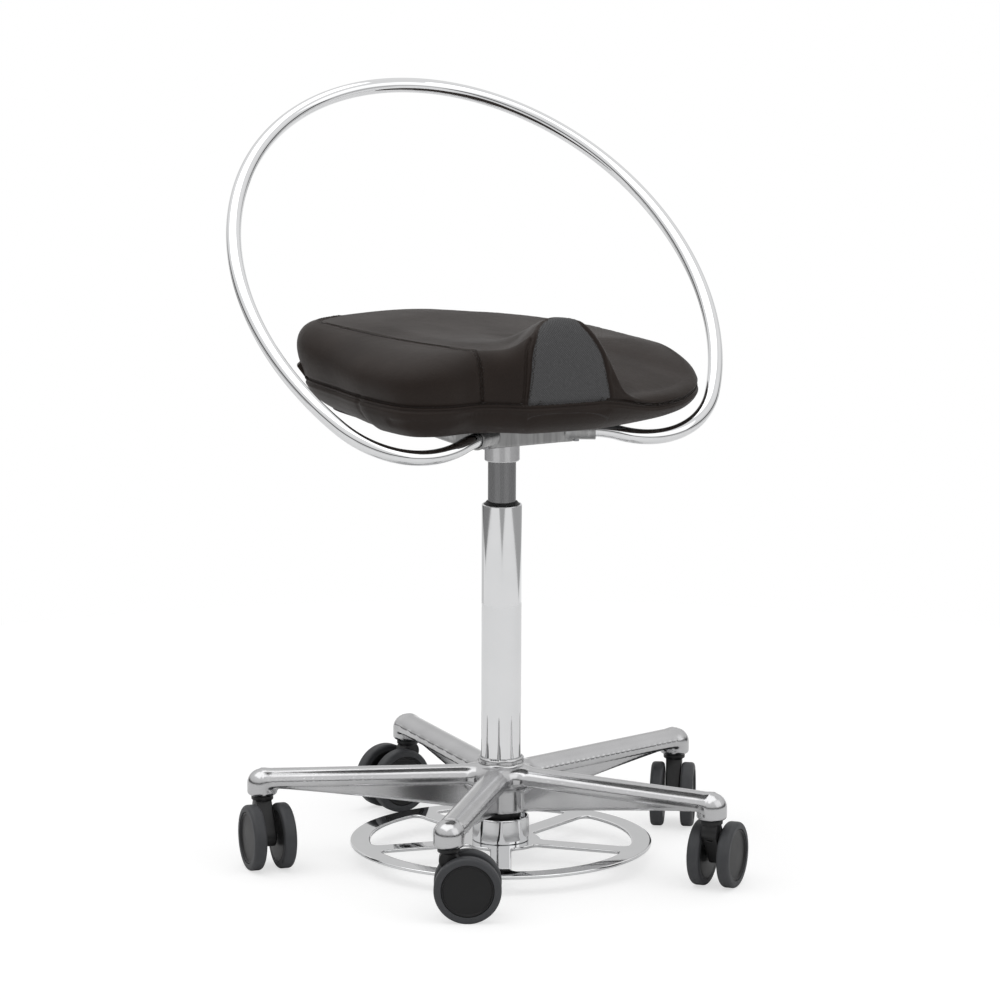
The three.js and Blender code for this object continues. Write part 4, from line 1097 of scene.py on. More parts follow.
@dataclass
class Column:
    """The chromed tube with its wiper, the gas spring's cylinder in it and the collar on the spring's top."""

    tube_radius: float = 20.0
    tube_wall: float = 1.8
    tube_bottom: float = 54.8
    tube_top: float = 364.0
    floor_hole: float = 5.6
    floor_thick: float = 3.0
    wiper_depth: float = 5.4
    wiper_inset: float = 0.4
    wiper_lip: float = 1.3
    wiper_top: float = 366.6
    cylinder_radius: float = 14.0
    cylinder_inner: float = 12.1
    cylinder_bottom: float = 150.0
    cylinder_top: float = 448.7
    cylinder_head: float = 418.7
    collar_radius: float = 17.5
    collar_bottom: float = 408.0
    collar_top: float = 432.7
    gap: float = 0.3

    def build(self) -> None:
        """Makes the four turned pieces that show."""
        bottom, top, hole = self.tube_bottom, self.tube_top, self.floor_hole
        inner, floor = self.tube_radius - self.tube_wall, self.tube_bottom + self.floor_thick
        corners = [
            (hole, bottom, 0.3), (self.tube_radius, bottom, 0.4), (self.tube_radius, top, 3.2),
            (inner, top, 0.5), (inner, floor, 0.5), (hole, floor, 0.3),
        ]
        surface_piece("chromed_tube", turned(corners, 144), CHROME, Slot.CHROME, "base", ["column_tube"])
        bore, seat, foot = self.cylinder_radius + self.gap, inner - self.gap, top - self.wiper_depth
        corners = [
            (bore, foot, 0.3), (seat, foot, 0.3), (seat, top - self.wiper_inset, 0.4),
            (bore + self.wiper_lip, self.wiper_top, 0.4), (bore, self.wiper_top, 0.2),
        ]
        surface_piece("wiper_lip", turned(corners, 96), RUBBER, Slot.BLACK_RUBBER, "base", ["wiper_seal"])
        corners = [
            (0, self.cylinder_head, 0), (self.cylinder_inner, self.cylinder_head, 0.5),
            (self.cylinder_inner, self.cylinder_bottom, 0.3), (self.cylinder_radius, self.cylinder_bottom, 0.6),
            (self.cylinder_radius, self.cylinder_top, 0.8), (0, self.cylinder_top, 0),
        ]
        cylinder = turned(corners, 112, closed=False)
        surface_piece("spring_cylinder", cylinder, GROUND, Slot.SATIN_STEEL, "seat", ["gas_cylinder"])
        corners = [
            (bore, self.collar_bottom, 0.4), (self.collar_radius, self.collar_bottom, 1.0),
            (self.collar_radius, self.collar_top, 0.8), (bore, self.collar_top, 0.4),
        ]
        surface_piece("spring_collar", turned(corners, 112), BUFFED, Slot.CAST_ALUMINIUM, "seat", ["taper_collar"])


@dataclass
class FootRelease:
    """The spoked foot disc, the cup that hangs it and the flange that it tilts on."""

    disc_radius: float = 151.5
    disc_bottom: float = 17.2
    disc_top: float = 20.7
    disc_edge: float = 1.2
    rim: float = 20.0
    spokes: int = 5
    turn_deg: float = 26.0
    spoke_width: float = 21.0
    slot_inner: float = 40.0
    slot_corner: float = 9.0
    slot_middle: float = 79.0
    slot_sides: int = 180
    plain_radius: float = 30.0
    edge_support: float = 0.5
    edge_steps: int = 6
    halvings: int = 44
    cup_radius: float = 28.5
    cup_inner: float = 26.5
    cup_bottom: float = 21.0
    cup_top: float = 45.6
    ledge: float = 30.3
    ledge_thick: float = 3.0
    ledge_radius: float = 16.0
    flange_radius: float = 22.0
    flange_bottom: float = 26.0
    flange_top: float = 30.0
    neck_radius: float = 11.0
    head_radius: float = 20.0
    head_bottom: float = 44.4
    head_top: float = 51.2
    pin_bore: float = 2.3
    rod_bore: float = 5.6
    rod_bore_bottom: float = 44.2

    def polar(self, points: Array) -> tuple[Array, Array]:
        """Measures points of the fifth about +X, in plan.

        Args:
            points: the points.

        Returns:
            Their radii, and how far each is past the nearer spoke's middle line.
        """
        along, side, half = points[:, 0], np.abs(points[:, 1]), math.pi / self.spokes
        return np.hypot(along, side), side * math.cos(half) - along * math.sin(half)

    def slot_field(self, points: Array) -> Array:
        """Finds the distance in plan to the outline of the slot about +X.

        Args:
            points: the points.

        Returns:
            The signed distances, negative in the slot.
        """
        radius, across = self.polar(points)
        spoke = across + self.spoke_width / 2
        outer = rounded_section(spoke, radius - (self.disc_radius - self.rim), self.slot_corner)
        return np.maximum(outer, rounded_section(spoke, self.slot_inner - radius, self.slot_corner / 2))

    def sector_field(self, points: Array) -> Array:
        """Finds the distance to one fifth of the disc's flat face: two spokes' middle lines and two arcs.

        Args:
            points: the points.

        Returns:
            The signed distances, negative in the fifth.
        """
        radius, across = self.polar(points)
        return np.maximum(across, np.maximum(radius - self.flat_radius(), self.plain_radius - radius))

    def flat_radius(self) -> float:
        """How far the disc's flat face reaches."""
        return self.disc_radius - self.disc_edge - self.edge_support

    def edge_profile(self) -> list[tuple[float, float]]:
        """Draws the disc's rounded edge.

        Returns:
            How far inside the outline and at what height it runs, from the top to the underside.
        """
        turns = np.linspace(0, math.pi / 2, self.edge_steps)
        bend, support = self.disc_edge, (self.disc_edge + self.edge_support, 0.0)
        upper = [support] + [(bend * (1 - math.sin(t)), bend * (1 - math.cos(t))) for t in turns]
        return [(a, self.disc_top - b) for a, b in upper] + [(a, self.disc_bottom + b) for a, b in upper[::-1]]

    def reached(self, middle: Array, rays: Array, field: Field, grow: float) -> Array:
        """Finds where rays meet a line of equal distance.

        Args:
            middle: where the rays start.
            rays: their ways, each of length 1.
            field: signed distance in plan.
            grow: the distance that is looked for.

        Returns:
            A point for each ray.
        """
        near, far = np.zeros(len(rays)), np.full(len(rays), self.disc_radius)
        for _ in range(self.halvings):
            way = (near + far) / 2
            inside = field(middle + rays * way[:, None]) < grow
            near, far = np.where(inside, way, near), np.where(inside, far, way)
        return middle + rays * near[:, None]

    def fifth(self) -> Surface:
        """Builds one fifth of the pressed disc about its slot.

        Returns:
            A surface that is open at two spokes' middle lines.
        """
        half, middle = math.pi / self.spokes, np.array((self.slot_middle, 0.0))
        ends = [np.array((math.cos(half), math.sin(half))) * r - middle for r in (self.flat_radius(), self.plain_radius)]
        outer, inner = (math.atan2(y, x) for x, y in ends)
        even = np.linspace(-math.pi, math.pi, self.slot_sides, endpoint=False)
        angles = np.unique(np.concatenate([even, [outer, -outer, inner, -inner]]).round(12))
        rays = np.stack([np.cos(angles), np.sin(angles)], axis=1)
        border, profile = self.reached(middle, rays, self.sector_field, 0.0), self.edge_profile()
        edges = [(self.reached(middle, rays, self.slot_field, a), z) for a, z in profile]
        levels = [at_height(*level) for level in ((border, self.disc_top), *edges, (border, self.disc_bottom))]
        parts = [Surface(np.vstack(levels), [row_quads(len(levels), len(rays))])]
        arc = border[np.abs(angles) < outer + 1e-9]
        rim = [at_height(arc * (self.disc_radius - a) / self.flat_radius(), z) for a, z in profile]
        quads = row_quads(len(rim), len(arc), is_ring=False)[:, [0, 3, 2, 1]]
        parts.append(Surface(np.vstack(rim), [quads]))
        round_order = np.argsort(angles % (2 * math.pi))
        back = border[round_order][np.abs(angles[round_order]) > inner - 1e-9]
        k = np.arange(len(back) - 1)
        for z, order in ((self.disc_top, (k + 1, k)), (self.disc_bottom, (k, k + 1))):
            fan = np.vstack([at_height(back, z), [[0, 0, z]]])
            parts.append(Surface(fan, [np.stack([np.full(len(k), len(back)), *order], axis=1)]))
        return parts[0].joined(*parts[1:])

    def disc(self) -> Surface:
        """Turns the fifth round into the whole disc.

        Returns:
            A closed surface.
        """
        fifth, half, parts = self.fifth(), math.pi / self.spokes, []
        for index in range(self.spokes):
            angle = math.radians(self.turn_deg) + (2 * index + 1) * half
            turn = np.eye(4)
            turn[:2, :2] = (math.cos(angle), -math.sin(angle)), (math.sin(angle), math.cos(angle))
            parts.append(fifth.moved(turn))
        return parts[0].joined(*parts[1:]).merged()

    def build(self) -> None:
        """Makes the disc, its cup and the flange."""
        surface_piece("foot_ring", self.disc(), CHROME, Slot.CHROME, "foot_release", ["foot_disc"])
        inner, ledge_top = self.cup_inner, self.ledge + self.ledge_thick
        corners = [
            (inner, self.cup_bottom, 0.3), (self.cup_radius, self.cup_bottom, 0.6),
            (self.cup_radius, self.cup_top, 1.6), (inner, self.cup_top, 0.3), (inner, ledge_top, 0.3),
            (self.ledge_radius, ledge_top, 0.4), (self.ledge_radius, self.ledge, 0.4), (inner, self.ledge, 0.3),
        ]
        surface_piece("disc_cup", turned(corners, 128), CHROME, Slot.CHROME, "foot_release", ["foot_cup"])
        corners = [
            (self.pin_bore, self.flange_bottom, 0.3), (self.flange_radius, self.flange_bottom, 0.8),
            (self.flange_radius, self.flange_top, 0.8), (self.neck_radius, self.flange_top, 1.0),
            (self.neck_radius, self.head_bottom, 1.0), (self.head_radius, self.head_bottom, 0.8),
            (self.head_radius, self.head_top, 0.5), (self.rod_bore, self.head_top, 0.2),
            (self.rod_bore, self.rod_bore_bottom, 0.2), (self.pin_bore, self.rod_bore_bottom, 0.2),
        ]
        surface_piece("tilt_flange", turned(corners, 96), NYLON, Slot.BLACK_PLASTIC, "base", ["release_flange"])


@dataclass
class Castor:
    """One twin-wheel castor, made with its stem on the z axis and its trail along +X."""

    index: int
    heading_deg: float
    base: StarBase
    trail: float = 18.4
    axle_height: float = 32.717
    wheel_radius: float = 33.0
    wheel_thick: float = 13.0
    inner_face: float = 9.0
    tread_inner: float = 26.0
    tread_gap: float = 0.3
    rim_inset: float = 0.9
    rim_wall: float = 1.5
    rim_slope: float = 0.8
    face_inset: float = 2.2
    face_dish: float = 0.8
    hub_bore: float = 3.3
    bore_depth: float = 8.8
    housing_half: float = 8.0
    housing_top: float = 71.4
    web_drop: float = 12.0
    web_inset: float = 1.4
    web_taper: float = 1.0
    web_round: float = 1.2
    neck_bottom: float = 56.0
    neck_rounds: tuple = (2.0, 0.5)
    neck_fillet: float = 2.0
    collar_radius: float = 11.0
    collar_bottom: float = 67.0
    collar_round: float = 0.8
    collar_fillet: float = 1.5
    stem_bore: float = 5.8
    stem_bore_bottom: float = 50.1
    bore_round: float = 0.5
    axle_bore: float = 3.3
    axle_radius: float = 3.0
    axle_half: float = 17.5
    foot_radius: float = 10.0
    face: float = 0.8

    def place(self) -> Matrix:
        """Finds where this castor's frame is in the column's.

        Returns:
            The castor's matrix.
        """
        angle = self.base.arm_angle(self.index)
        tip = Vector((math.cos(angle), math.sin(angle), 0)) * self.base.reach
        return Matrix.Translation(tip) @ Matrix.Rotation(math.radians(self.heading_deg), 4, "Z")

    def field(self, points: Array) -> Array:
        """Finds the distance to the moulded housing: a web from the collar down to the axle, bored for both.

        Args:
            points: the points.

        Returns:
            The signed distances, negative inside.
        """
        x, y, z = points.T
        start = np.array((0.0, self.housing_top - self.web_drop))
        way = np.array((self.trail, self.axle_height)) - start
        share = np.clip(((x - start[0]) * way[0] + (z - start[1]) * way[1]) / (way @ way), 0, 1)
        reach = np.hypot(x - start[0] - way[0] * share, z - start[1] - way[1] * share)
        body = reach - mix(self.collar_radius - self.web_inset, self.foot_radius, share)
        half = mix(self.housing_half, self.housing_half - self.web_taper, share)
        web = rounded_section(body, np.abs(y) - half, self.web_round)
        radius, top, rounds = np.hypot(x, y), self.housing_top, (self.collar_round, self.collar_round)
        collar = rounded_box(radius, z, self.collar_radius, self.collar_bottom, top, rounds)
        neck = rounded_box(radius, z, self.housing_half, self.neck_bottom, top - 1, self.neck_rounds)
        solid = melt(melt(web, neck, self.neck_fillet), collar, self.collar_fillet)
        stem = np.maximum(radius - self.stem_bore, self.stem_bore_bottom - z)
        axle = np.hypot(x - self.trail, z - self.axle_height) - self.axle_bore
        return carve(solid, np.minimum(stem, axle), self.bore_round)

    def wheel(self, side: int) -> tuple[Surface, Surface]:
        """Makes one wheel, on the axle.

        Args:
            side: 1 for the left wheel, -1 for the right.

        Returns:
            The nylon core and the tread.
        """
        thick, rim = self.wheel_thick, self.tread_inner - self.tread_gap
        face, step, wall = thick - self.face_inset, thick - self.rim_inset, rim - self.rim_wall
        corners = [
            (0, self.bore_depth, 0), (self.hub_bore, self.bore_depth, 0.2), (self.hub_bore, 0, 0.3),
            (rim, 0, 0.4), (rim, step, 0.5), (wall, step, 0.4),
            (wall - self.rim_slope, face, 0.8), (0, face + self.face_dish, 0),
        ]
        core = turned(corners, 96, closed=False)
        corners = [
            (self.tread_inner, 0, 0.3), (self.wheel_radius, 0, 3.2),
            (self.wheel_radius, thick, 3.4), (self.tread_inner, thick, 0.5),
        ]
        tread = turned(corners, 128, steps=7)
        upright = Matrix.Rotation(side * -math.pi / 2, 4, "X")
        stood = Matrix.Translation((self.trail, side * self.inner_face, self.axle_height)) @ upright
        return core.moved(self.place() @ stood), tread.moved(self.place() @ stood)

    def build(self) -> None:
        """Makes the housing, the axle and both wheels."""
        name, reach, width = f"castor_{self.index + 1}", self.collar_radius + ROOM, self.housing_half + 2 * ROOM
        low = (-reach, -width, self.axle_height - reach)
        high = (self.trail + reach, width, self.housing_top + ROOM)
        housing = net_surface(self.field, low, high, self.face).moved(self.place())
        surface_piece(f"{name}_body", housing, NYLON, Slot.BLACK_PLASTIC, name, [f"{name}_housing"])
        radius, half = self.axle_radius, self.axle_half
        axle = turned([(0, -half, 0), (radius, -half, 0.5), (radius, half, 0.5), (0, half, 0)], 32, closed=False)
        lying = Matrix.Translation((self.trail, 0, self.axle_height)) @ Matrix.Rotation(math.pi / 2, 4, "X")
        axle = axle.moved(self.place() @ lying)
        surface_piece(f"{name}_pin", axle, TURNED_STEEL, Slot.PLAIN_STEEL, name, [f"{name}_axle"])
        for side, label in ((1, "left"), (-1, "right")):
            core, tread = self.wheel(side)
            body = f"{name}_wheels_{label}"
            surface_piece(f"{name}_core_{label}", core, WHEEL_NYLON, Slot.WHEEL_NYLON, body, [f"{name}_wheel_{label}"])
            surface_piece(f"{name}_tyre_{label}", tread, TREAD, Slot.GREY_TREAD, body, [f"{name}_tread_{label}"])


@dataclass
class MountPlate:
    """The cast plate between the gas spring and the seat, with an ear on each side and the hoop's sockets."""

    hoop: SupportHoop
    bottom: float = 433.0
    top: float = 454.7
    half_width: float = 66.0
    front: float = 61.0
    back: float = 68.0
    corner: float = 24.0
    edge: float = 1.6
    ear_reach: float = 97.0
    ear_half: float = 22.0
    ear_bottom: float = 442.7
    ear_corner: float = 12.0
    ear_edge: float = 1.5
    ear_fillet: float = 7.0
    socket_radius: float = 10.5
    socket_back: float = 3.0
    socket_length: float = 27.0
    socket_edge: float = 1.0
    socket_fillet: float = 4.0
    socket_room: float = 24.0
    hoop_bore: float = 7.8
    hoop_gap: float = 0.3
    hoop_steps: int = 24
    spring_bore: float = 14.3
    spring_bore_top: float = 449.0
    screw_bore: float = 3.3
    bore_round: float = 0.5
    screw_side: float = 45.0
    screw_depths: tuple = (-25.0, 47.0)
    screw_radii: tuple = (5.5, 2.4)
    screw_span: tuple = (428.7, 432.7)
    ring_screw_radii: tuple = (3.0, 1.5)
    ring_screw_span: tuple = (433.3, 437.7)
    sharp_deg: float = 40.0
    face: float = 1.1

    def outline(self, points: Array, low: tuple, high: tuple, corner: float) -> Array:
        """Finds the distance in plan to a rectangle with rounded corners.

        Args:
            points: the points.
            low: the rectangle's left front corner.
            high: its right back corner.
            corner: the radius of its corners.

        Returns:
            The signed distances, negative inside.
        """
        (x, y), (half_x, half_y) = (((a + b) / 2 for a, b in zip(low, high)), ((b - a) / 2 for a, b in zip(low, high)))
        return rounded_section(np.abs(points[:, 0] - x) - half_x, np.abs(points[:, 1] - y) - half_y, corner)

    def field(self, points: Array) -> Array:
        """Finds the distance to the casting.

        Args:
            points: the points.

        Returns:
            The signed distances, negative inside.
        """
        right, z = np.column_stack([np.abs(points[:, 0]), points[:, 1:]]), points[:, 2]
        slab = np.maximum(self.bottom - z, z - self.top)
        low, high = (-self.half_width, -self.front), (self.half_width, self.back)
        body = rounded_section(self.outline(points, low, high, self.corner), slab, self.edge)
        slab = np.maximum(self.ear_bottom - z, z - self.top)
        low, high = (-self.ear_reach, -self.ear_half), (self.ear_reach, self.ear_half)
        ears = rounded_section(self.outline(points, low, high, self.ear_corner), slab, self.ear_edge)
        end, heading = self.hoop.end(), self.hoop.end_heading()
        along = (right - end) @ -heading
        aside = np.linalg.norm(right - end + np.outer(along, heading), axis=1)
        ends = np.maximum(-self.socket_back - along, along - self.socket_length)
        sockets = rounded_section(aside - self.socket_radius, ends, self.socket_edge)
        solid = melt(melt(body, ears, self.ear_fillet), sockets, self.socket_fillet)
        solid = np.maximum(solid, z - self.top)
        bore = line_distance(right, self.hoop.half_path(self.hoop_steps)[2 - self.hoop_steps :]) - self.hoop_bore
        spring = np.maximum(np.hypot(points[:, 0], points[:, 1]) - self.spring_bore, z - self.spring_bore_top)
        cuts = np.minimum(np.maximum(bore, -self.hoop_gap - along), spring)
        for depth in self.screw_depths:
            reach = np.hypot(right[:, 0] - self.screw_side, points[:, 1] - depth)
            cuts = np.minimum(cuts, reach - self.screw_bore)
        x, y = self.ring_screw_place()
        reach = np.hypot(right[:, 0] - x, points[:, 1] - y)
        cuts = np.minimum(cuts, np.maximum(reach - self.screw_bore, z - end[2]))
        return carve(solid, cuts, self.bore_round)

    def ring_screw_place(self) -> tuple[float, float]:
        """Where the screw under the right end of the hoop stands, in plan."""
        place = self.hoop.end() - self.hoop.end_heading() * self.hoop.radius
        return float(place[0]), float(place[1])

    def screws(self, name: str, tree: Tree, places: Any, span: tuple, radii: tuple, nodes: Sequence[str]) -> None:
        """Stands the heads of some screws on points.

        Args:
            name: the piece's name.
            tree: the tree that stands screws on points.
            places: where the screws are, in plan.
            span: the heights of a head's underside and top.
            radii: the radii of a head and of its socket.
            nodes: the CAD nodes that the screws stand for.
        """
        height = span[1] - span[0]
        points = at_height(np.array(places), span[1] - height / 2)
        sizes = {"Head radius": radii[0], "Head height": height, "Socket radius": radii[1]}
        heads = grown(name, line_mesh("screw_places", points[:, None]), tree, TURNED_STEEL, sizes)
        heads.data.set_sharp_from_angle(angle=math.radians(self.sharp_deg))
        add_piece(heads, TURNED_STEEL, Slot.PLAIN_STEEL, "seat", nodes)

    def build(self) -> None:
        """Makes the casting and the heads of its screws."""
        low = (-self.ear_reach - ROOM, -self.front - self.socket_room, self.bottom - ROOM)
        high = (self.ear_reach + ROOM, self.back + ROOM, self.top + ROOM)
        plate = net_surface(self.field, low, high, self.face)
        surface_piece("seat_plate", plate, FILED, Slot.CAST_ALUMINIUM, "seat", ["mount_plate"])
        tree = screw_group()
        places = [(s * self.screw_side, d) for d in self.screw_depths for s in (-1, 1)]
        nodes = [f"seat_screw_{i + 1}" for i in range(len(places))]
        self.screws("shell_screws", tree, places, self.screw_span, self.screw_radii, nodes)
        x, y = self.ring_screw_place()
        places, nodes = [(-x, y), (x, y)], ["ring_screw_left", "ring_screw_right"]
        self.screws("hoop_screws", tree, places, self.ring_screw_span, self.ring_screw_radii, nodes)


@dataclass
class SupportHoop:
    """One bent tube: an ellipse in a leaning plane, a round lobe at each lower end and a bend into the plate."""

    radius: float = 7.5
    half_width: float = 251.0
    half_height: float = 269.0
    lean_deg: float = 46.7
    middle_back: float = 55.0
    middle_height: float = 570.0
    lobe_radius: float = 95.4
    lobe_start_deg: float = -34.3
    lobe_end_deg: float = -115.0
    end_place: tuple = (44.0, -57.0, 445.5)
    end_turn_deg: float = 149.0
    bend_pull: float = 1 / 3
    steps: int = 60
    sides: int = 40

    def leaning(self, side: Any, rise: Any) -> Array:
        """Places points in the hoop's leaning plane.

        Args:
            side: how far to the right they are.
            rise: how far up the plane.

        Returns:
            The points.
        """
        lean = math.radians(self.lean_deg)
        back = self.middle_back + rise * math.sin(lean)
        return np.stack([side, back, self.middle_height + rise * math.cos(lean)], axis=-1)

    def end(self) -> Array:
        """Where the hoop's right end is."""
        return np.array(self.end_place)

    def end_heading(self) -> Array:
        """The way that the right end runs into the plate."""
        turn = math.radians(self.end_turn_deg)
        return np.array((math.cos(turn), math.sin(turn), 0.0))

    def half_path(self, steps: int) -> Array:
        """Draws the right half of the tube's middle line, from its top to its end in the plate.

        Args:
            steps: how many steps the bend has; the lobe has twice and the ellipse four times as many.

        Returns:
            The line's points.
        """
        start, finish = math.radians(self.lobe_start_deg), math.radians(self.lobe_end_deg)
        angles = np.linspace(math.pi / 2, start, steps * 4, endpoint=False)
        upper = self.leaning(self.half_width * np.cos(angles), self.half_height * np.sin(angles))
        lobe_start = np.array((self.half_width * math.cos(start), self.half_height * math.sin(start)))
        normal = np.array((math.cos(start) / self.half_width, math.sin(start) / self.half_height))
        normal = normal / np.linalg.norm(normal)
        x, y = lobe_start - normal * self.lobe_radius
        angles = np.linspace(math.atan2(normal[1], normal[0]), finish, steps * 2)
        lobe = self.leaning(x + self.lobe_radius * np.cos(angles), y + self.lobe_radius * np.sin(angles))
        heading = self.leaning(math.sin(finish), -math.cos(finish)) - self.leaning(0.0, 0.0)
        a, d = lobe[-1], self.end()
        pull = np.linalg.norm(a - d) * self.bend_pull
        b, c = a + heading * pull, d - self.end_heading() * pull
        t = np.linspace(0, 1, steps)[1:, None]
        bend = a * (1 - t) ** 3 + 3 * b * t * (1 - t) ** 2 + 3 * c * t**2 * (1 - t) + d * t**3
        return np.vstack([upper, lobe, bend])

    def build(self) -> None:
        """Runs the tube along its whole middle line."""
        right = self.half_path(self.steps)
        line = line_mesh("hoop_line", [np.vstack([(right * (-1, 1, 1))[:0:-1], right])])
        made = grown("seat_hoop", line, tube_group(), CHROME, {"Radius": self.radius, "Sides": self.sides})
        add_piece(made, CHROME, Slot.CHROME, "seat", ["support_ring"])


@dataclass
class SaddleSeat:
    """The upholstered saddle: a skirt, a flank panel, a level wing, a falling wing and a pommel."""

    left: float = 167.0
    right: float = 197.0
    front: float = 142.0
    back: float = 155.0
    level: float = 540.0
    back_rise: float = 4.0
    seam_left: float = 489.0
    seam_right: float = 474.5
    seam_fall: tuple = (30.0, 115.0)
    seam_lift: float = 8.0
    seam_lift_start: float = 140.0
    side_fall: float = 29.0
    side_lead: float = 0.1
    side_ease: float = 0.025
    front_fall: float = 40.0
    front_fall_start: float = 20.0
    front_fall_width: float = 75.0
    pommel_rise: float = 33.0
    pommel_side: float = 5.0
    pommel_half: float = 43.0
    pommel_narrow: float = 0.88
    pommel_back: float = 15.0
    pommel_top: float = 0.87
    pommel_widths: tuple = (0.8, 1.05)
    pommel_widens: tuple = (0.6, 0.9)
    pommel_right: float = 0.35
    dish_depth: float = 7.0
    dish_radius: float = 95.0
    left_bulge: float = 12.0
    right_bulge: float = 2.0
    rim_height: float = 456.0
    recess_top: float = 463.3
    recess_inset: float = 34.0
    rim_inset: float = 24.0
    draw_in: float = 8.5
    corner_out: float = 6.0
    corner_front: tuple = (14.0, 40.0)
    draw_back: tuple = (0.0, 75.0)
    crease_back: tuple = (-20.0, -14.0)
    crease_share: float = 0.3
    draw_start: float = 60.0
    round_count: int = 912
    skirt_rows: int = 38
    wall_rows: int = 36
    top_rows: int = 34
    swell_limit: float = 3.5
    swell_smoothing: int = 24
    cloth_voxel: float = 0.005  # metres, like the next one
    sewn_reach: float = 0.0042
    sewn_rise: float = 6.0
    cloth_steps: int = 20
    lip_share: float = 0.87
    lip_out: float = 1.2
    groove_depth: float = 1.7
    groove_width: float = 1.3
    ridge_height: float = 0.45
    ridge_reach: float = 3.2
    ridge_width: float = 1.7
    panel_plane_deg: float = 45.0
    panel_drop: float = 12.0
    panel_back: float = -95.0
    outside_panel: float = -9.0
    # How far in from the seam and at what share of the skirt's height its section runs.
    skirt: tuple = (
        (24.0, 0.0), (19.0, 0.03), (8.0, 0.27), (1.6, 0.52), (-0.6, 0.68), (-1.5, 0.85), (-0.9, 0.96), (0.0, 1.0),
    )
    # Each corner's place on the skirt's seam and on the top's edge, as shares of the half width and depth.
    seam_columns: tuple = (0, 1)
    edge_columns: tuple = (2, 3)
    outline: tuple = (
        (-1, 0.63, -0.89, 0.65), (-1.005, 0.19, -0.775, 0.24), (-1, -0.225, -0.67, -0.176),
        (-0.91, -0.64, -0.587, -0.493), (-0.695, -0.775, -0.55, -0.62), (-0.503, -0.768, -0.503, -0.69),
        (-0.371, -0.845, -0.347, -0.76), (-0.251, -0.951, -0.216, -0.86), (0, -1, 0, -0.873),
        (0.213, -1.007, 0.168, -0.88), (0.345, -0.965, 0.295, -0.894), (0.508, -0.887, 0.467, -0.817),
        (0.711, -0.761, 0.665, -0.69), (0.888, -0.563, 0.832, -0.507), (0.99, -0.282, 0.934, -0.254),
        (1, 0.097, 0.944, 0.09), (0.954, 0.452, 0.898, 0.426), (0.838, 0.761, 0.787, 0.703),
        (0.635, 0.942, 0.599, 0.871), (0.355, 1, 0.335, 0.923), (0, 1.006, 0, 0.929),
        (-0.419, 0.98, -0.383, 0.897), (-0.749, 0.89, -0.7, 0.82), (-0.928, 0.787, -0.86, 0.75),
    )
    grip_outline: tuple = (
        (-42.8, -132.4, 489.7), (-40.7, -136.0, 517.2), (-37.2, -134.0, 540.7), (-24.8, -123.8, 561.0),
        (-10.4, -116.9, 568.2), (3.7, -115.8, 567.9), (11.6, -122.1, 565.7), (18.9, -131.6, 559.2),
        (26.6, -136.2, 548.7), (35.1, -139.4, 532.9), (38.7, -142.3, 518.0), (44.0, -141.0, 488.0),
    )
    pommel_seam: tuple = (
        (-36.4, -127.4, 549.0), (-41.1, -129.1, 541.7), (-43.6, -130.9, 533.3), (-45.3, -132.6, 513.1),
        (-45.6, -130.1, 489.5),
    )
    flank_span: tuple = (-2.0 / 24, 5.0 / 24)  # shares of the way round
    flank_slant: float = 0.006
    seam_easing: int = 90
    folds: tuple = (
        ((-168.8, -17.8, 487.0), (-165.0, -18.5, 476.0), (-157.0, -19.2, 462.0)),
        (
            (-157.3, -70.5, 472.2), (-140.1, -98.5, 473.8), (-75.0, -122.0, 476.0),
            (-7.5, -141.7, 477.8), (39.1, -143.7, 478.7),
        ),
        ((44.2, -142.1, 509.3), (53.0, -141.0, 500.0), (62.1, -138.3, 491.4)),
    )
    fold_depth: float = 1.5
    fold_width: float = 4.5
    tab_place: float = -0.02
    tab_corners: tuple = ((1.5, 17.5), (8.9, 10.4), (0.4, -1.2), (-4.0, 0.5), (-4.0, 15.0))
    tab_width: float = 12.0
    tab_round: float = 0.9
    tab_reach: float = 20.0
    tab_face: float = 0.6
    stitch_aside: float = 2.9
    grip_aside: float = 2.6
    stitch_lift: float = 0.12
    stitch_pitch: float = 3.6
    stitch_length: float = 2.9
    stitch_thickness: float = 0.75

    def curve(self, columns: tuple[int, int], places: Array) -> Array:
        """Draws one of the outline's two closed curves.

        Args:
            columns: the outline's columns that hold it.
            places: shares of the way round.

        Returns:
            A point in plan for each place.
        """
        rows = np.array(self.outline, float)
        side, depth = rows[:, columns[0]], rows[:, columns[1]]
        x = side * np.where(side < 0, self.left, self.right)
        y = depth * np.where(depth < 0, self.front, self.back)
        knots = np.stack([x, y], axis=1)
        count = len(knots)
        at = np.asarray(places) * count
        i = np.floor(at).astype(int)
        w = (at - i)[:, None]
        p0, p1, p2, p3 = (knots[(i + k) % count] for k in (-1, 0, 1, 2))
        d0, d1, d2 = (np.sqrt(np.linalg.norm(b - a, axis=1))[:, None] for a, b in ((p0, p1), (p1, p2), (p2, p3)))
        t1 = ((p1 - p0) / d0 - (p2 - p0) / (d0 + d1) + (p2 - p1) / d1) * d1
        t2 = ((p2 - p1) / d1 - (p3 - p1) / (d1 + d2) + (p3 - p2) / d2) * d1
        return p1 + t1 * w + (3 * (p2 - p1) - 2 * t1 - t2) * w**2 + (2 * (p1 - p2) + t1 + t2) * w**3

    def seam(self, places: Array) -> tuple[Array, Array]:
        """Draws the skirt's seam in plan.

        Args:
            places: shares of the way round.

        Returns:
            A point for each place and the way outwards from it.
        """
        tiny = 1e-4
        way = self.curve(self.seam_columns, places + tiny) - self.curve(self.seam_columns, places - tiny)
        outward = np.stack([way[:, 1], -way[:, 0]], axis=1)
        return self.curve(self.seam_columns, places), outward / np.linalg.norm(outward, axis=1)[:, None]

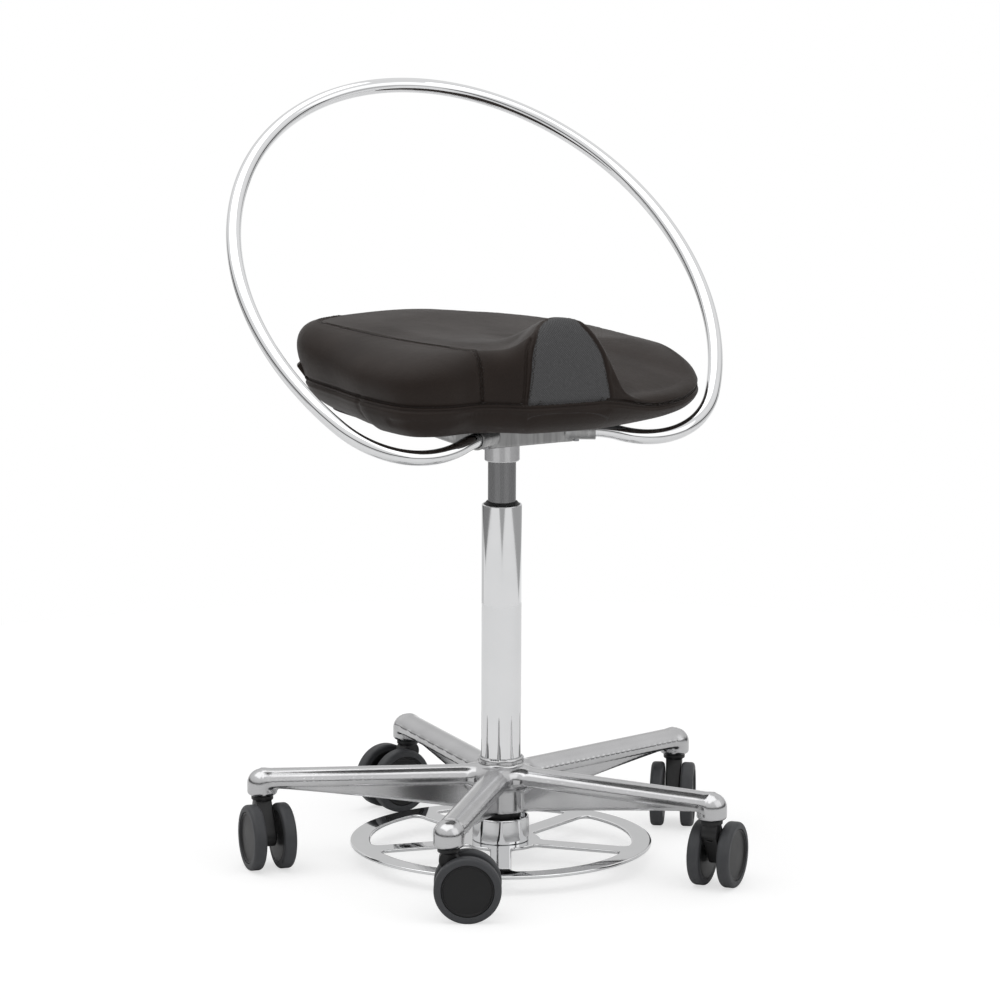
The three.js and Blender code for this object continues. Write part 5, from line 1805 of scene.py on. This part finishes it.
    def top_height(self, x: Array, y: Array) -> Array:
        """Finds the height of the seat's top: level on the left, falling to the right, with the pommel on it.

        Args:
            x: how far to the right each point is.
            y: how far back it is.

        Returns:
            The heights.
        """
        lead = x / self.right + self.side_lead
        across = (lead + np.sqrt(lead**2 + self.side_ease)) / 2
        frontward = smooth(-self.front_fall_start, self.front, -y) * smooth(0, self.front_fall_width, x)
        ahead = smooth(self.pommel_back, self.front * self.pommel_top, -y)
        widens = smooth(self.front * self.pommel_widens[0], self.front * self.pommel_widens[1], -y)
        half = self.pommel_half * mix(*self.pommel_widths, widens)
        right_rise = 1 + self.pommel_right * smooth(0, half, x)
        off = (x - self.pommel_side) / half
        slope = np.where(off > 0, (np.abs(off) / self.pommel_narrow) ** 4, np.abs(off) ** 3)
        pommel = self.pommel_rise * ahead * right_rise * np.exp(-slope)
        dish = self.dish_depth * np.exp(-(x**2 + y**2) / self.dish_radius**2) * (1 - ahead)
        level = self.level + self.back_rise * smooth(0, self.back, y) - dish
        return level - self.side_fall * across - self.front_fall * frontward + pommel

    def seam_height(self, x: Array) -> Array:
        """Height of the seam between skirt and cover."""
        fallen = mix(self.seam_left, self.seam_right, smooth(*self.seam_fall, x))
        return fallen + self.seam_lift * smooth(self.seam_lift_start, self.right, x)

    def wall(self, places: Array, share: float) -> Array:
        """Makes one row of points on the cover's wall.

        Args:
            places: shares of the way round.
            share: how far up the row is, from the seam at 0 to the top's edge at 1.

        Returns:
            The points.
        """
        seam, outward = self.seam(places)
        edge = self.curve(self.edge_columns, places)
        turn = share * math.pi / 2
        bulge = mix(self.right_bulge, self.left_bulge, smooth(0, self.left, -seam[:, 0])) * math.sin(2 * turn)
        plan = mix(seam, edge, 1 - math.cos(turn)) + outward * bulge[:, None]
        rise = mix(self.seam_height(seam[:, 0]), self.top_height(edge[:, 0], edge[:, 1]), math.sin(turn))
        return np.column_stack([plan, rise])

    def level_row(self, places: Array, inset: float, height: float) -> Array:
        """Makes one level row of points, drawn in from the seam by an inset."""
        seam, outward = self.seam(places)
        return at_height(seam - outward * inset, height)

    def skirt_row(self, places: Array, inset: float, share: float) -> Array:
        """Makes one row of points on the skirt, which is drawn in at the left and comes out at the front corner.

        Args:
            places: shares of the way round.
            inset: how far in from the seam the row is.
            share: how far up the skirt it is.

        Returns:
            The points.
        """
        seam, outward = self.seam(places)
        left = smooth(self.draw_start, self.left, -seam[:, 0])
        drawn = mix(smooth(*self.draw_back, seam[:, 1]), smooth(*self.crease_back, seam[:, 1]), self.crease_share)
        inset = inset + self.draw_in * (drawn * left)[:, None] * (1 - share)
        corner = left * smooth(*self.corner_front, -seam[:, 1])
        inset = inset - self.corner_out * corner[:, None] * (1 - share)
        return np.column_stack([seam - outward * inset, mix(self.rim_height, self.seam_height(seam[:, 0]), share)])

    def surface(self) -> Surface:
        """Builds the seat's plain form in rows, from the recess under it round the skirt and over the top.

        Returns:
            A closed surface.
        """
        places = np.arange(self.round_count) / self.round_count
        inset, low = self.recess_inset, self.rim_height
        hollow = (
            (inset * 0.5, self.recess_top), (inset, self.recess_top), (inset, low + 3), (inset - 0.3, low + 0.6),
            (inset - 1.2, low), (self.rim_inset + 3, low),
        )
        rows = [self.level_row(places, *place) for place in hollow]
        rows += [self.skirt_row(places, *place) for place in smooth_line(self.skirt, self.skirt_rows)]
        rows += [self.wall(places, share) for share in np.linspace(0, 1, self.wall_rows)[1:]]
        for share in np.linspace(1, 0, self.top_rows + 1)[1:-1]:
            plan = self.curve(self.edge_columns, places) * share
            rows.append(np.column_stack([plan, self.top_height(plan[:, 0], plan[:, 1])]))
        crown = float(self.top_height(np.zeros(1), np.zeros(1))[0])
        return capped(np.vstack(rows), self.round_count, (0, 0, self.recess_top), (0, 0, crown))

    def seams(self) -> dict[str, Array]:
        """Draws the sewn lines on the plain form.

        Returns:
            A dense row of points for each, by name.
        """
        whole, steps, (start, finish) = np.linspace(0, 1, 1400), np.linspace(0, 1, 60), self.flank_span
        up = [self.wall(np.array([start]), t) for t in steps]
        over = self.wall(np.linspace(start, finish, 420), 1.0)
        down = [self.wall(np.array([finish + self.flank_slant * (1 - t)]), t) for t in steps[::-1]]
        flank = smooth_line(np.vstack([*up, over, *down]), 700)
        for _ in range(self.seam_easing):
            flank[1:-1] = (flank[:-2] + 2 * flank[1:-1] + flank[2:]) / 4
        return {
            "cover": self.wall(whole, 0.0),
            "lip": self.skirt_row(whole, -self.lip_out, self.lip_share),
            "flank": flank,
            "grip": smooth_line(self.grip_outline, 260),
            "pommel": smooth_line(self.pommel_seam, 80),
        }

    def panel_plane(self, points: Array) -> Array:
        """Views points along a slanting line, so that the pommel's front and crest lie side by side."""
        slant = math.radians(self.panel_plane_deg)
        return np.column_stack([points[:, 0], points[:, 2] * math.sin(slant) + points[:, 1] * math.cos(slant)])

    def panel_distance(self, points: Array) -> Array:
        """Finds how far inside the grip panel each point is.

        Args:
            points: the points.

        Returns:
            The signed distances, positive inside.
        """
        line, flat = self.panel_plane(smooth_line(self.grip_outline, 120)), self.panel_plane(points)
        line = np.vstack([line, *(end - (0, self.panel_drop) for end in (line[-1], line[0])), line[0]])
        inside = np.zeros(len(flat), bool)
        for (x, y), (end_x, end_y) in zip(line[:-1], line[1:]):
            spans = (y > flat[:, 1]) != (end_y > flat[:, 1])
            rise = 1 if end_y == y else end_y - y
            inside ^= spans & (flat[:, 0] < (end_x - x) * (flat[:, 1] - y) / rise + x)
        inside &= (points[:, 1] < self.panel_back) & (points[:, 2] > self.seam_left - 0.5)
        nearest = line_distance(flat, line)
        return np.where(inside, nearest, -nearest)

    def blown(self, pad: bpy.types.Object, rest: Array, sewn: Array) -> Array:
        """Blows a mesh up as cloth that is held at some of its points.

        Args:
            pad: the mesh object.
            rest: its points in metres.
            sewn: whether each point is held.

        Returns:
            How far each point moves, in millimetres.
        """
        pad.vertex_groups.new(name="sewn").add([int(i) for i in np.flatnonzero(sewn)], 1.0, "REPLACE")
        cloth = pad.modifiers.new("cloth", "CLOTH")
        for key, value in CLOTH.items():
            setattr(cloth.settings, key, value)
        cloth.settings.effector_weights.gravity = 0
        cloth.collision_settings.use_collision = False
        for step in range(1, self.cloth_steps + 1):
            bpy.context.scene.frame_set(step)
        after = np.empty(rest.size)
        pad.evaluated_get(bpy.context.evaluated_depsgraph_get()).data.vertices.foreach_get("co", after)
        bpy.context.scene.frame_set(1)
        return (after.reshape(-1, 3) - rest) / MILLIMETRE

    def swell(self, surface: Surface, held: Array) -> Array:
        """Finds how far each point moves when a coarser copy is blown up as cloth that is held at its seams.

        Args:
            surface: the plain form.
            held: points on the lines where the cover is sewn down.

        Returns:
            An offset in millimetres for each of the surface's points.
        """
        trial = object_of("seat_trial", mesh_of("seat_trial", surface))
        voxels = trial.modifiers.new("voxels", "REMESH")
        voxels.mode, voxels.voxel_size = "VOXEL", self.cloth_voxel
        graph = bpy.context.evaluated_depsgraph_get()
        coarse = bpy.data.meshes.new_from_object(trial.evaluated_get(graph), depsgraph=graph)
        bpy.data.objects.remove(trial)
        pad = object_of("seat_pad_trial", coarse)
        rest, ends = np.empty(len(coarse.vertices) * 3), np.empty(len(coarse.edges) * 2, int)
        coarse.vertices.foreach_get("co", rest)
        coarse.edges.foreach_get("vertices", ends)
        rest = rest.reshape(-1, 3)
        skirt_low = rest[:, 2] < (self.rim_height + self.sewn_rise) * MILLIMETRE
        moved = self.blown(pad, rest, (away_from(placed(held), rest) < self.sewn_reach) | skirt_low)
        bpy.data.objects.remove(pad)
        first, second = ends.reshape(-1, 2).T
        degree = np.bincount(ends, minlength=len(rest))[:, None]
        for _ in range(self.swell_smoothing):
            around = np.zeros_like(moved)
            np.add.at(around, first, moved[second])
            np.add.at(around, second, moved[first])
            moved = (moved + around / degree) / 2
        length = np.linalg.norm(moved, axis=1)
        LOG.info("cover swells by %.1f mm at most, %.1f mm on average", length.max(), length.mean())
        moved = moved * np.minimum(1, self.swell_limit / np.maximum(length, 1e-9))[:, None]
        return blended(search_tree(rest), moved, placed(surface.points), 6, 0.001, 2)

    def normals(self, surface: Surface) -> Array:
        """Finds the unit normals of a surface of quads and triangles.

        Args:
            surface: the surface.

        Returns:
            A normal for each of its points.
        """
        total = np.zeros_like(surface.points)
        for group in surface.faces:
            p = surface.points[group]
            across = np.cross(p[:, 2] - p[:, 0], p[:, 3 % group.shape[1]] - p[:, 1])
            for corner in range(group.shape[1]):
                for axis in range(3):
                    total[:, axis] += np.bincount(group[:, corner], across[:, axis], len(total))
        return total / np.maximum(np.linalg.norm(total, axis=1), 1e-9)[:, None]

    def groove(self, surface: Surface, seams: Sequence[Array]) -> Surface:
        """Draws the cover in along its seams, with a low ridge on each side, and presses its folds in.

        Args:
            surface: the swollen form.
            seams: the seams' lines, near its surface.

        Returns:
            The finished surface.
        """
        tree, points = search_tree(surface.points), surface.points

        def snapped(line: Array) -> Array:
            """A line's points, moved onto the surface."""
            return blended(tree, points, line, 4, 0.1, 1)

        near = away_from(np.vstack([snapped(line) for line in seams]), points)
        drop = -self.groove_depth * np.exp(-((near / self.groove_width) ** 2))
        for fold in self.folds:
            away = away_from(snapped(smooth_line(fold, 90)), points)
            drop -= self.fold_depth * np.exp(-((away / self.fold_width) ** 2))
        lift = self.ridge_height * np.exp(-(((near - self.ridge_reach) / self.ridge_width) ** 2))
        return Surface(points + self.normals(surface) * (drop + lift)[:, None], surface.faces)

    def build(self) -> None:
        """Makes the cushion, its stitches and its tab."""
        surface, seams = self.surface(), self.seams()
        held = np.vstack([seams[name] for name in ("cover", "flank", "grip", "pommel")])
        surface = Surface(surface.points + self.swell(surface, held), surface.faces)
        panel = self.panel_distance(surface.points)
        surface = self.groove(surface, list(seams.values()))
        mesh = mesh_of("saddle_cover", surface)
        self.mark_panel(mesh, panel)
        cushion = object_of("saddle_cover", mesh)
        add_piece(cushion, HIDE, Slot.UPHOLSTERY, "seat", ["seat_cushion"])
        self.sew(surface, seams)
        self.tab()

    def tab(self) -> None:
        """Makes a small folded tab of the same leather, sewn in at the back of the flank."""
        seam, outward = self.seam(np.array([self.tab_place]))
        middle = np.array((*seam[0], float(self.seam_height(seam[:, 0])[0])))
        out = np.array((*outward[0], 0.0))
        across = np.cross(out, (0, 0, 1))
        corners, round_by = np.array(self.tab_corners), self.tab_round

        def field(points: Array) -> Array:
            """Finds the distance to the tab, a five-sided prism with soft edges.

            Args:
                points: the points.

            Returns:
                The signed distances, negative inside.
            """
            local = points - middle
            flat = np.column_stack([local @ out, local[:, 2]])
            beyond = [np.abs(local @ across) - self.tab_width / 2 + round_by]
            for start, finish in zip(corners, np.roll(corners, -1, axis=0)):
                way = (finish - start) / np.linalg.norm(finish - start)
                beyond.append((flat - start) @ (-way[1], way[0]) + round_by)
            beyond = np.array(beyond)
            near = np.sqrt((np.maximum(beyond, 0) ** 2).sum(axis=0))
            return near + np.minimum(beyond.max(axis=0), 0) - round_by

        low, high = (tuple(middle + way) for way in (-self.tab_reach, self.tab_reach))
        mesh = mesh_of("seam_tab", net_surface(field, low, high, self.tab_face))
        self.mark_panel(mesh, np.full(len(mesh.vertices), -self.tab_reach))
        add_piece(object_of("seam_tab", mesh), HIDE, Slot.UPHOLSTERY, "seat")

    def mark_panel(self, mesh: bpy.types.Mesh, inside: Array) -> None:
        """Writes how far inside the grip panel each point is, which the leather's material reads."""
        attribute = mesh.attributes.new(HIDE.panel_attribute, "FLOAT", "POINT")
        attribute.data.foreach_set("value", inside.astype(np.float32))

    def sew(self, surface: Surface, seams: dict[str, Array]) -> None:
        """Runs stitches beside the seams.

        Args:
            surface: the finished cover.
            seams: the seams' lines, by name.
        """
        tree = BVHTree.FromPolygons([tuple(p) for p in surface.points], [tuple(q) for q in surface.faces[0]])

        def beside(line: Array, aside: float) -> Array:
            """Runs a line on the surface beside another.

            Args:
                line: the other line.
                aside: how far beside it the new one runs, on its right when positive.

            Returns:
                The new line.
            """
            made = []
            for point, heading in zip(line, np.gradient(line, axis=0)):
                _, normal, _, _ = tree.find_nearest(tuple(point))
                across = np.cross(heading, np.array(normal))
                across = across / max(float(np.linalg.norm(across)), 1e-9)
                place, normal, _, _ = tree.find_nearest(tuple(point + across * aside))
                made.append(np.array(place) + np.array(normal) * self.stitch_lift)
            return np.array(made)

        runs = (("flank", self.stitch_aside), ("flank", -self.stitch_aside), ("cover", self.stitch_aside))
        lines = [beside(seams[name], aside) for name, aside in (*runs, ("grip", self.grip_aside))]
        sizes = {"Pitch": self.stitch_pitch, "Length": self.stitch_length, "Thickness": self.stitch_thickness}
        made = grown("cover_stitches", line_mesh("stitch_lines", lines), stitch_group(), THREAD, sizes)
        add_piece(made, THREAD, Slot.UPHOLSTERY, "seat")


@dataclass
class Studio:
    """The camera at the photograph's angle, a pale floor and soft light from all round."""

    yaw_deg: float = 28.0
    pitch_deg: float = 11.0
    roll_deg: float = 0.19
    camera_mm: tuple = (-1.88, -5799.0, 1494.8)
    focal_px: float = 5936.9
    frame_px: float = 1000.0
    sensor_mm: float = 36.0
    clip_end: float = 200.0
    floor_radius: float = 1.25
    floor_sides: int = 96
    floor_glow: float = 0.5
    floor_white: float = 1.25
    fill: float = 0.6
    gaps: tuple = (
        (2.0, 19.0, -0.202, 0.55), (-107.0, 47.0, -0.202, 0.72), (116.0, 62.0, -0.208, 0.55), (-150.0, 24.0, -0.6, 0.3),
    )
    gap_top: float = -0.191
    gap_taper: float = -0.07
    gap_blur: float = 0.035
    gap_ceiling: float = -0.12
    back_span: tuple = (-0.9, -0.6)
    back_heights: tuple = (
        (0.0, "#FFFFFF"), (0.54, "#FFFFFF"), (0.59, "#D8D8D8"), (0.62, "#D0D0D0"), (0.75, "#F0F0F0"), (1.0, "#EDEDED"),
    )
    heights: tuple = (
        (0.0, "#F2F2F2"), (0.45, "#F2F2F2"), (0.5, "#4A4A4A"), (0.55, "#3C3C3C"), (0.6, "#E4E4E4"), (0.8, "#FBFBFB"),
        (1.0, "#EDEDED"),
    )
    aim_height: float = 0.3

    def turned_from_camera(self, x: float, y: float, z: float) -> Vector:
        """A direction of the camera's upright frame, in the object's."""
        yaw = math.radians(self.yaw_deg)
        return Vector((x * math.cos(yaw) + y * math.sin(yaw), -x * math.sin(yaw) + y * math.cos(yaw), z))

    def camera(self) -> None:
        """Stands the camera."""
        data = bpy.data.cameras.new("camera")
        data.sensor_width = self.sensor_mm
        data.lens = self.focal_px * self.sensor_mm / self.frame_px
        data.clip_end = self.clip_end
        made = bpy.data.objects.new("camera", data)
        bpy.context.scene.collection.objects.link(made)
        pitch, roll = math.radians(self.pitch_deg), math.radians(self.roll_deg)
        ahead = self.turned_from_camera(0, math.cos(pitch), -math.sin(pitch))
        level = self.turned_from_camera(1, 0, 0)
        upright = level.cross(ahead)
        right = level * math.cos(roll) + upright * math.sin(roll)
        up = right.cross(ahead)
        turn = Matrix((right, up, -ahead)).transposed().to_4x4()
        place = self.turned_from_camera(*self.camera_mm) - Vector((0, AXIS_FORWARD, 0))
        made.matrix_world = Matrix.Translation(place * MILLIMETRE) @ turn
        bpy.context.scene.camera = made

    def seen(self, tree: Tree, path: Node) -> Node:
        """Adds the node that is 1 for rays from the camera, straight or through clear things."""
        rays = {0: path.outputs["Is Camera Ray"], 1: path.outputs["Is Transmission Ray"]}
        return add_node(tree, "ShaderNodeMath", rays, operation="MAXIMUM")

    def floor(self) -> None:
        """Lays a round sheet of white paper, which keeps the object's shadow and reads as white in clear light."""
        count = self.floor_sides
        angles = np.arange(count) * 2 * math.pi / count
        ring = np.stack([np.cos(angles), np.sin(angles), np.zeros(count)], axis=1) * self.floor_radius / MILLIMETRE
        made = object_of("floor", mesh_of("floor", Surface(ring, [np.arange(count)[None, :]]), False))
        material = bpy.data.materials.new("pale_floor")
        material.use_nodes = True
        tree = material.node_tree
        tree.nodes.clear()
        seen = self.seen(tree, add_node(tree, "ShaderNodeLightPath"))
        paint = add_node(tree, "ShaderNodeBsdfDiffuse", {"Color": linear_colour("#F4F4F4")})
        white = add_node(tree, "ShaderNodeEmission", {"Color": (1, 1, 1, 1), "Strength": self.floor_white})
        share = add_node(tree, "ShaderNodeMath", {0: seen, 1: self.floor_glow}, operation="MULTIPLY")
        both = add_node(tree, "ShaderNodeMixShader", {0: share, 1: paint, 2: white})
        add_node(tree, "ShaderNodeOutputMaterial", {0: both})
        made.data.materials.append(material)

    def dimmed(self, tree: Tree, rise: Socket, toward: Socket, aside: Socket) -> Node:
        """Works out how the dark gaps between the softboxes dim what gloss sees.

        Args:
            tree: the world's node tree.
            rise: how far up a direction points.
            toward: how far it points to the photograph's viewer.
            aside: how far it points to the viewer's right.

        Returns:
            The node whose output is the share of light that is left.
        """
        turn = add_node(tree, "ShaderNodeMath", {0: aside, 1: toward}, operation="ARCTAN2")
        light: Any = 1.0
        for middle, half, low, depth in self.gaps:
            off = add_node(tree, "ShaderNodeMath", {0: turn, 1: math.radians(middle)}, operation="SUBTRACT")
            away = add_node(tree, "ShaderNodeMath", {0: off}, operation="ABSOLUTE")
            ends = {"From Min": low, "From Max": self.gap_top, "To Min": self.gap_taper, "To Max": math.radians(half)}
            reach = add_node(tree, "ShaderNodeMapRange", {"Value": rise, **ends}, clamp=True)
            past = add_node(tree, "ShaderNodeMath", {0: away, 1: reach}, operation="SUBTRACT")
            ends = {"From Min": -self.gap_blur, "From Max": self.gap_blur, "To Min": 1 - depth}
            gap = add_node(tree, "ShaderNodeMapRange", {"Value": past, **ends})
            light = add_node(tree, "ShaderNodeMath", {0: light, 1: gap}, operation="MULTIPLY")
        return light

    def world(self) -> None:
        """Surrounds the object with white; gloss also sees the dark gaps between the softboxes."""
        world = bpy.data.worlds.new("studio")
        bpy.context.scene.world = world
        world.use_nodes = True
        tree = world.node_tree
        tree.nodes.clear()
        path = add_node(tree, "ShaderNodeLightPath")
        white = add_node(tree, "ShaderNodeBackground", {"Color": (1, 1, 1, 1), "Strength": 1.0})
        fill = add_node(tree, "ShaderNodeBackground", {"Color": (1, 1, 1, 1), "Strength": self.fill})
        direction = add_node(tree, "ShaderNodeTexCoord").outputs["Generated"]
        rise = add_node(tree, "ShaderNodeSeparateXYZ", {0: direction}).outputs[2]
        ways = []
        for way in (-self.turned_from_camera(0, 1, 0), self.turned_from_camera(1, 0, 0)):
            along = add_node(tree, "ShaderNodeVectorMath", {0: direction, 1: tuple(way)}, operation="DOT_PRODUCT")
            ways.append(along.outputs["Value"])
        level = add_node(tree, "ShaderNodeMapRange", {"Value": rise, "From Min": -1, "From Max": 1})
        around = []
        for stops in (self.back_heights, self.heights):
            ramp = add_node(tree, "ShaderNodeValToRGB", {0: level})
            while len(ramp.color_ramp.elements) < len(stops):
                ramp.color_ramp.elements.new(0.5)
            for element, (place, code) in zip(ramp.color_ramp.elements, stops):
                element.position, element.color = place, linear_colour(code)
            around.append(ramp.outputs[0])
        ends = {"From Min": self.back_span[0], "From Max": self.back_span[1]}
        behind = add_node(tree, "ShaderNodeMapRange", {"Value": ways[0], **ends})
        upper = add_node(tree, "ShaderNodeMix", {0: behind, 6: around[0], 7: around[1]}, data_type="RGBA")
        below = add_node(tree, "ShaderNodeMath", {0: rise, 1: self.gap_ceiling}, operation="LESS_THAN")
        shade = add_node(tree, "ShaderNodeMix", {0: below, 2: 1.0, 3: self.dimmed(tree, rise, *ways)})
        mirror = add_node(tree, "ShaderNodeBackground", {"Color": upper.outputs[2], "Strength": shade})
        glossy = add_node(tree, "ShaderNodeMixShader", {0: path.outputs["Is Glossy Ray"], 1: fill, 2: mirror})
        shown = add_node(tree, "ShaderNodeMixShader", {0: self.seen(tree, path), 1: glossy, 2: white})
        add_node(tree, "ShaderNodeOutputWorld", {0: shown})

    def lamp(self, name: str, place: tuple[float, float, float], size: float, power: float) -> None:
        """Hangs a square lamp, aimed at the stool.

        Args:
            name: its name.
            place: where it hangs in the camera's upright frame, in metres.
            size: the length of its side, in metres.
            power: its power, in watts.
        """
        data = bpy.data.lights.new(name, "AREA")
        data.shape, data.size, data.energy = "SQUARE", size, power
        made = bpy.data.objects.new(name, data)
        bpy.context.scene.collection.objects.link(made)
        made.location = self.turned_from_camera(*place)
        aim = Vector((0, 0, self.aim_height)) - made.location
        made.rotation_mode = "QUATERNION"
        made.rotation_quaternion = aim.to_track_quat("-Z", "Y")

    def build(self) -> None:
        """Sets the whole studio and the view settings."""
        bpy.context.scene.view_settings.view_transform = "Standard"
        self.camera()
        self.floor()
        self.world()
        self.lamp("overhead", (-0.5, -0.3, 3.2), 4.0, 52)
        self.lamp("side", (2.6, -1.6, 2.0), 3.0, 14)


def dress_nodes(record: dict) -> None:
    """Gives every CAD node that still shows the material of its slot.

    Args:
        record: the part's record.
    """
    for part in record["subparts"]:
        node = frame["nodes"].get(part["node"])
        if node is not None:
            node.data.materials.clear()
            node.data.materials.append(NODE_FINISHES[Slot(part["material_slot"])].material())


def main() -> None:
    """Builds the stool round its frame, piece by piece."""
    logging.basicConfig(level=logging.INFO, format="%(name)s %(message)s")
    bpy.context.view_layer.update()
    Studio().build()
    dress_nodes(frame["record"])
    base, hoop = StarBase(), SupportHoop()
    base.build()
    Column().build()
    FootRelease().build()
    for index, heading in enumerate(CASTOR_HEADINGS):
        Castor(index, heading, base).build()
    hoop.build()
    MountPlate(hoop).build()
    SaddleSeat().build()


if __name__ == "__main__":
    main()
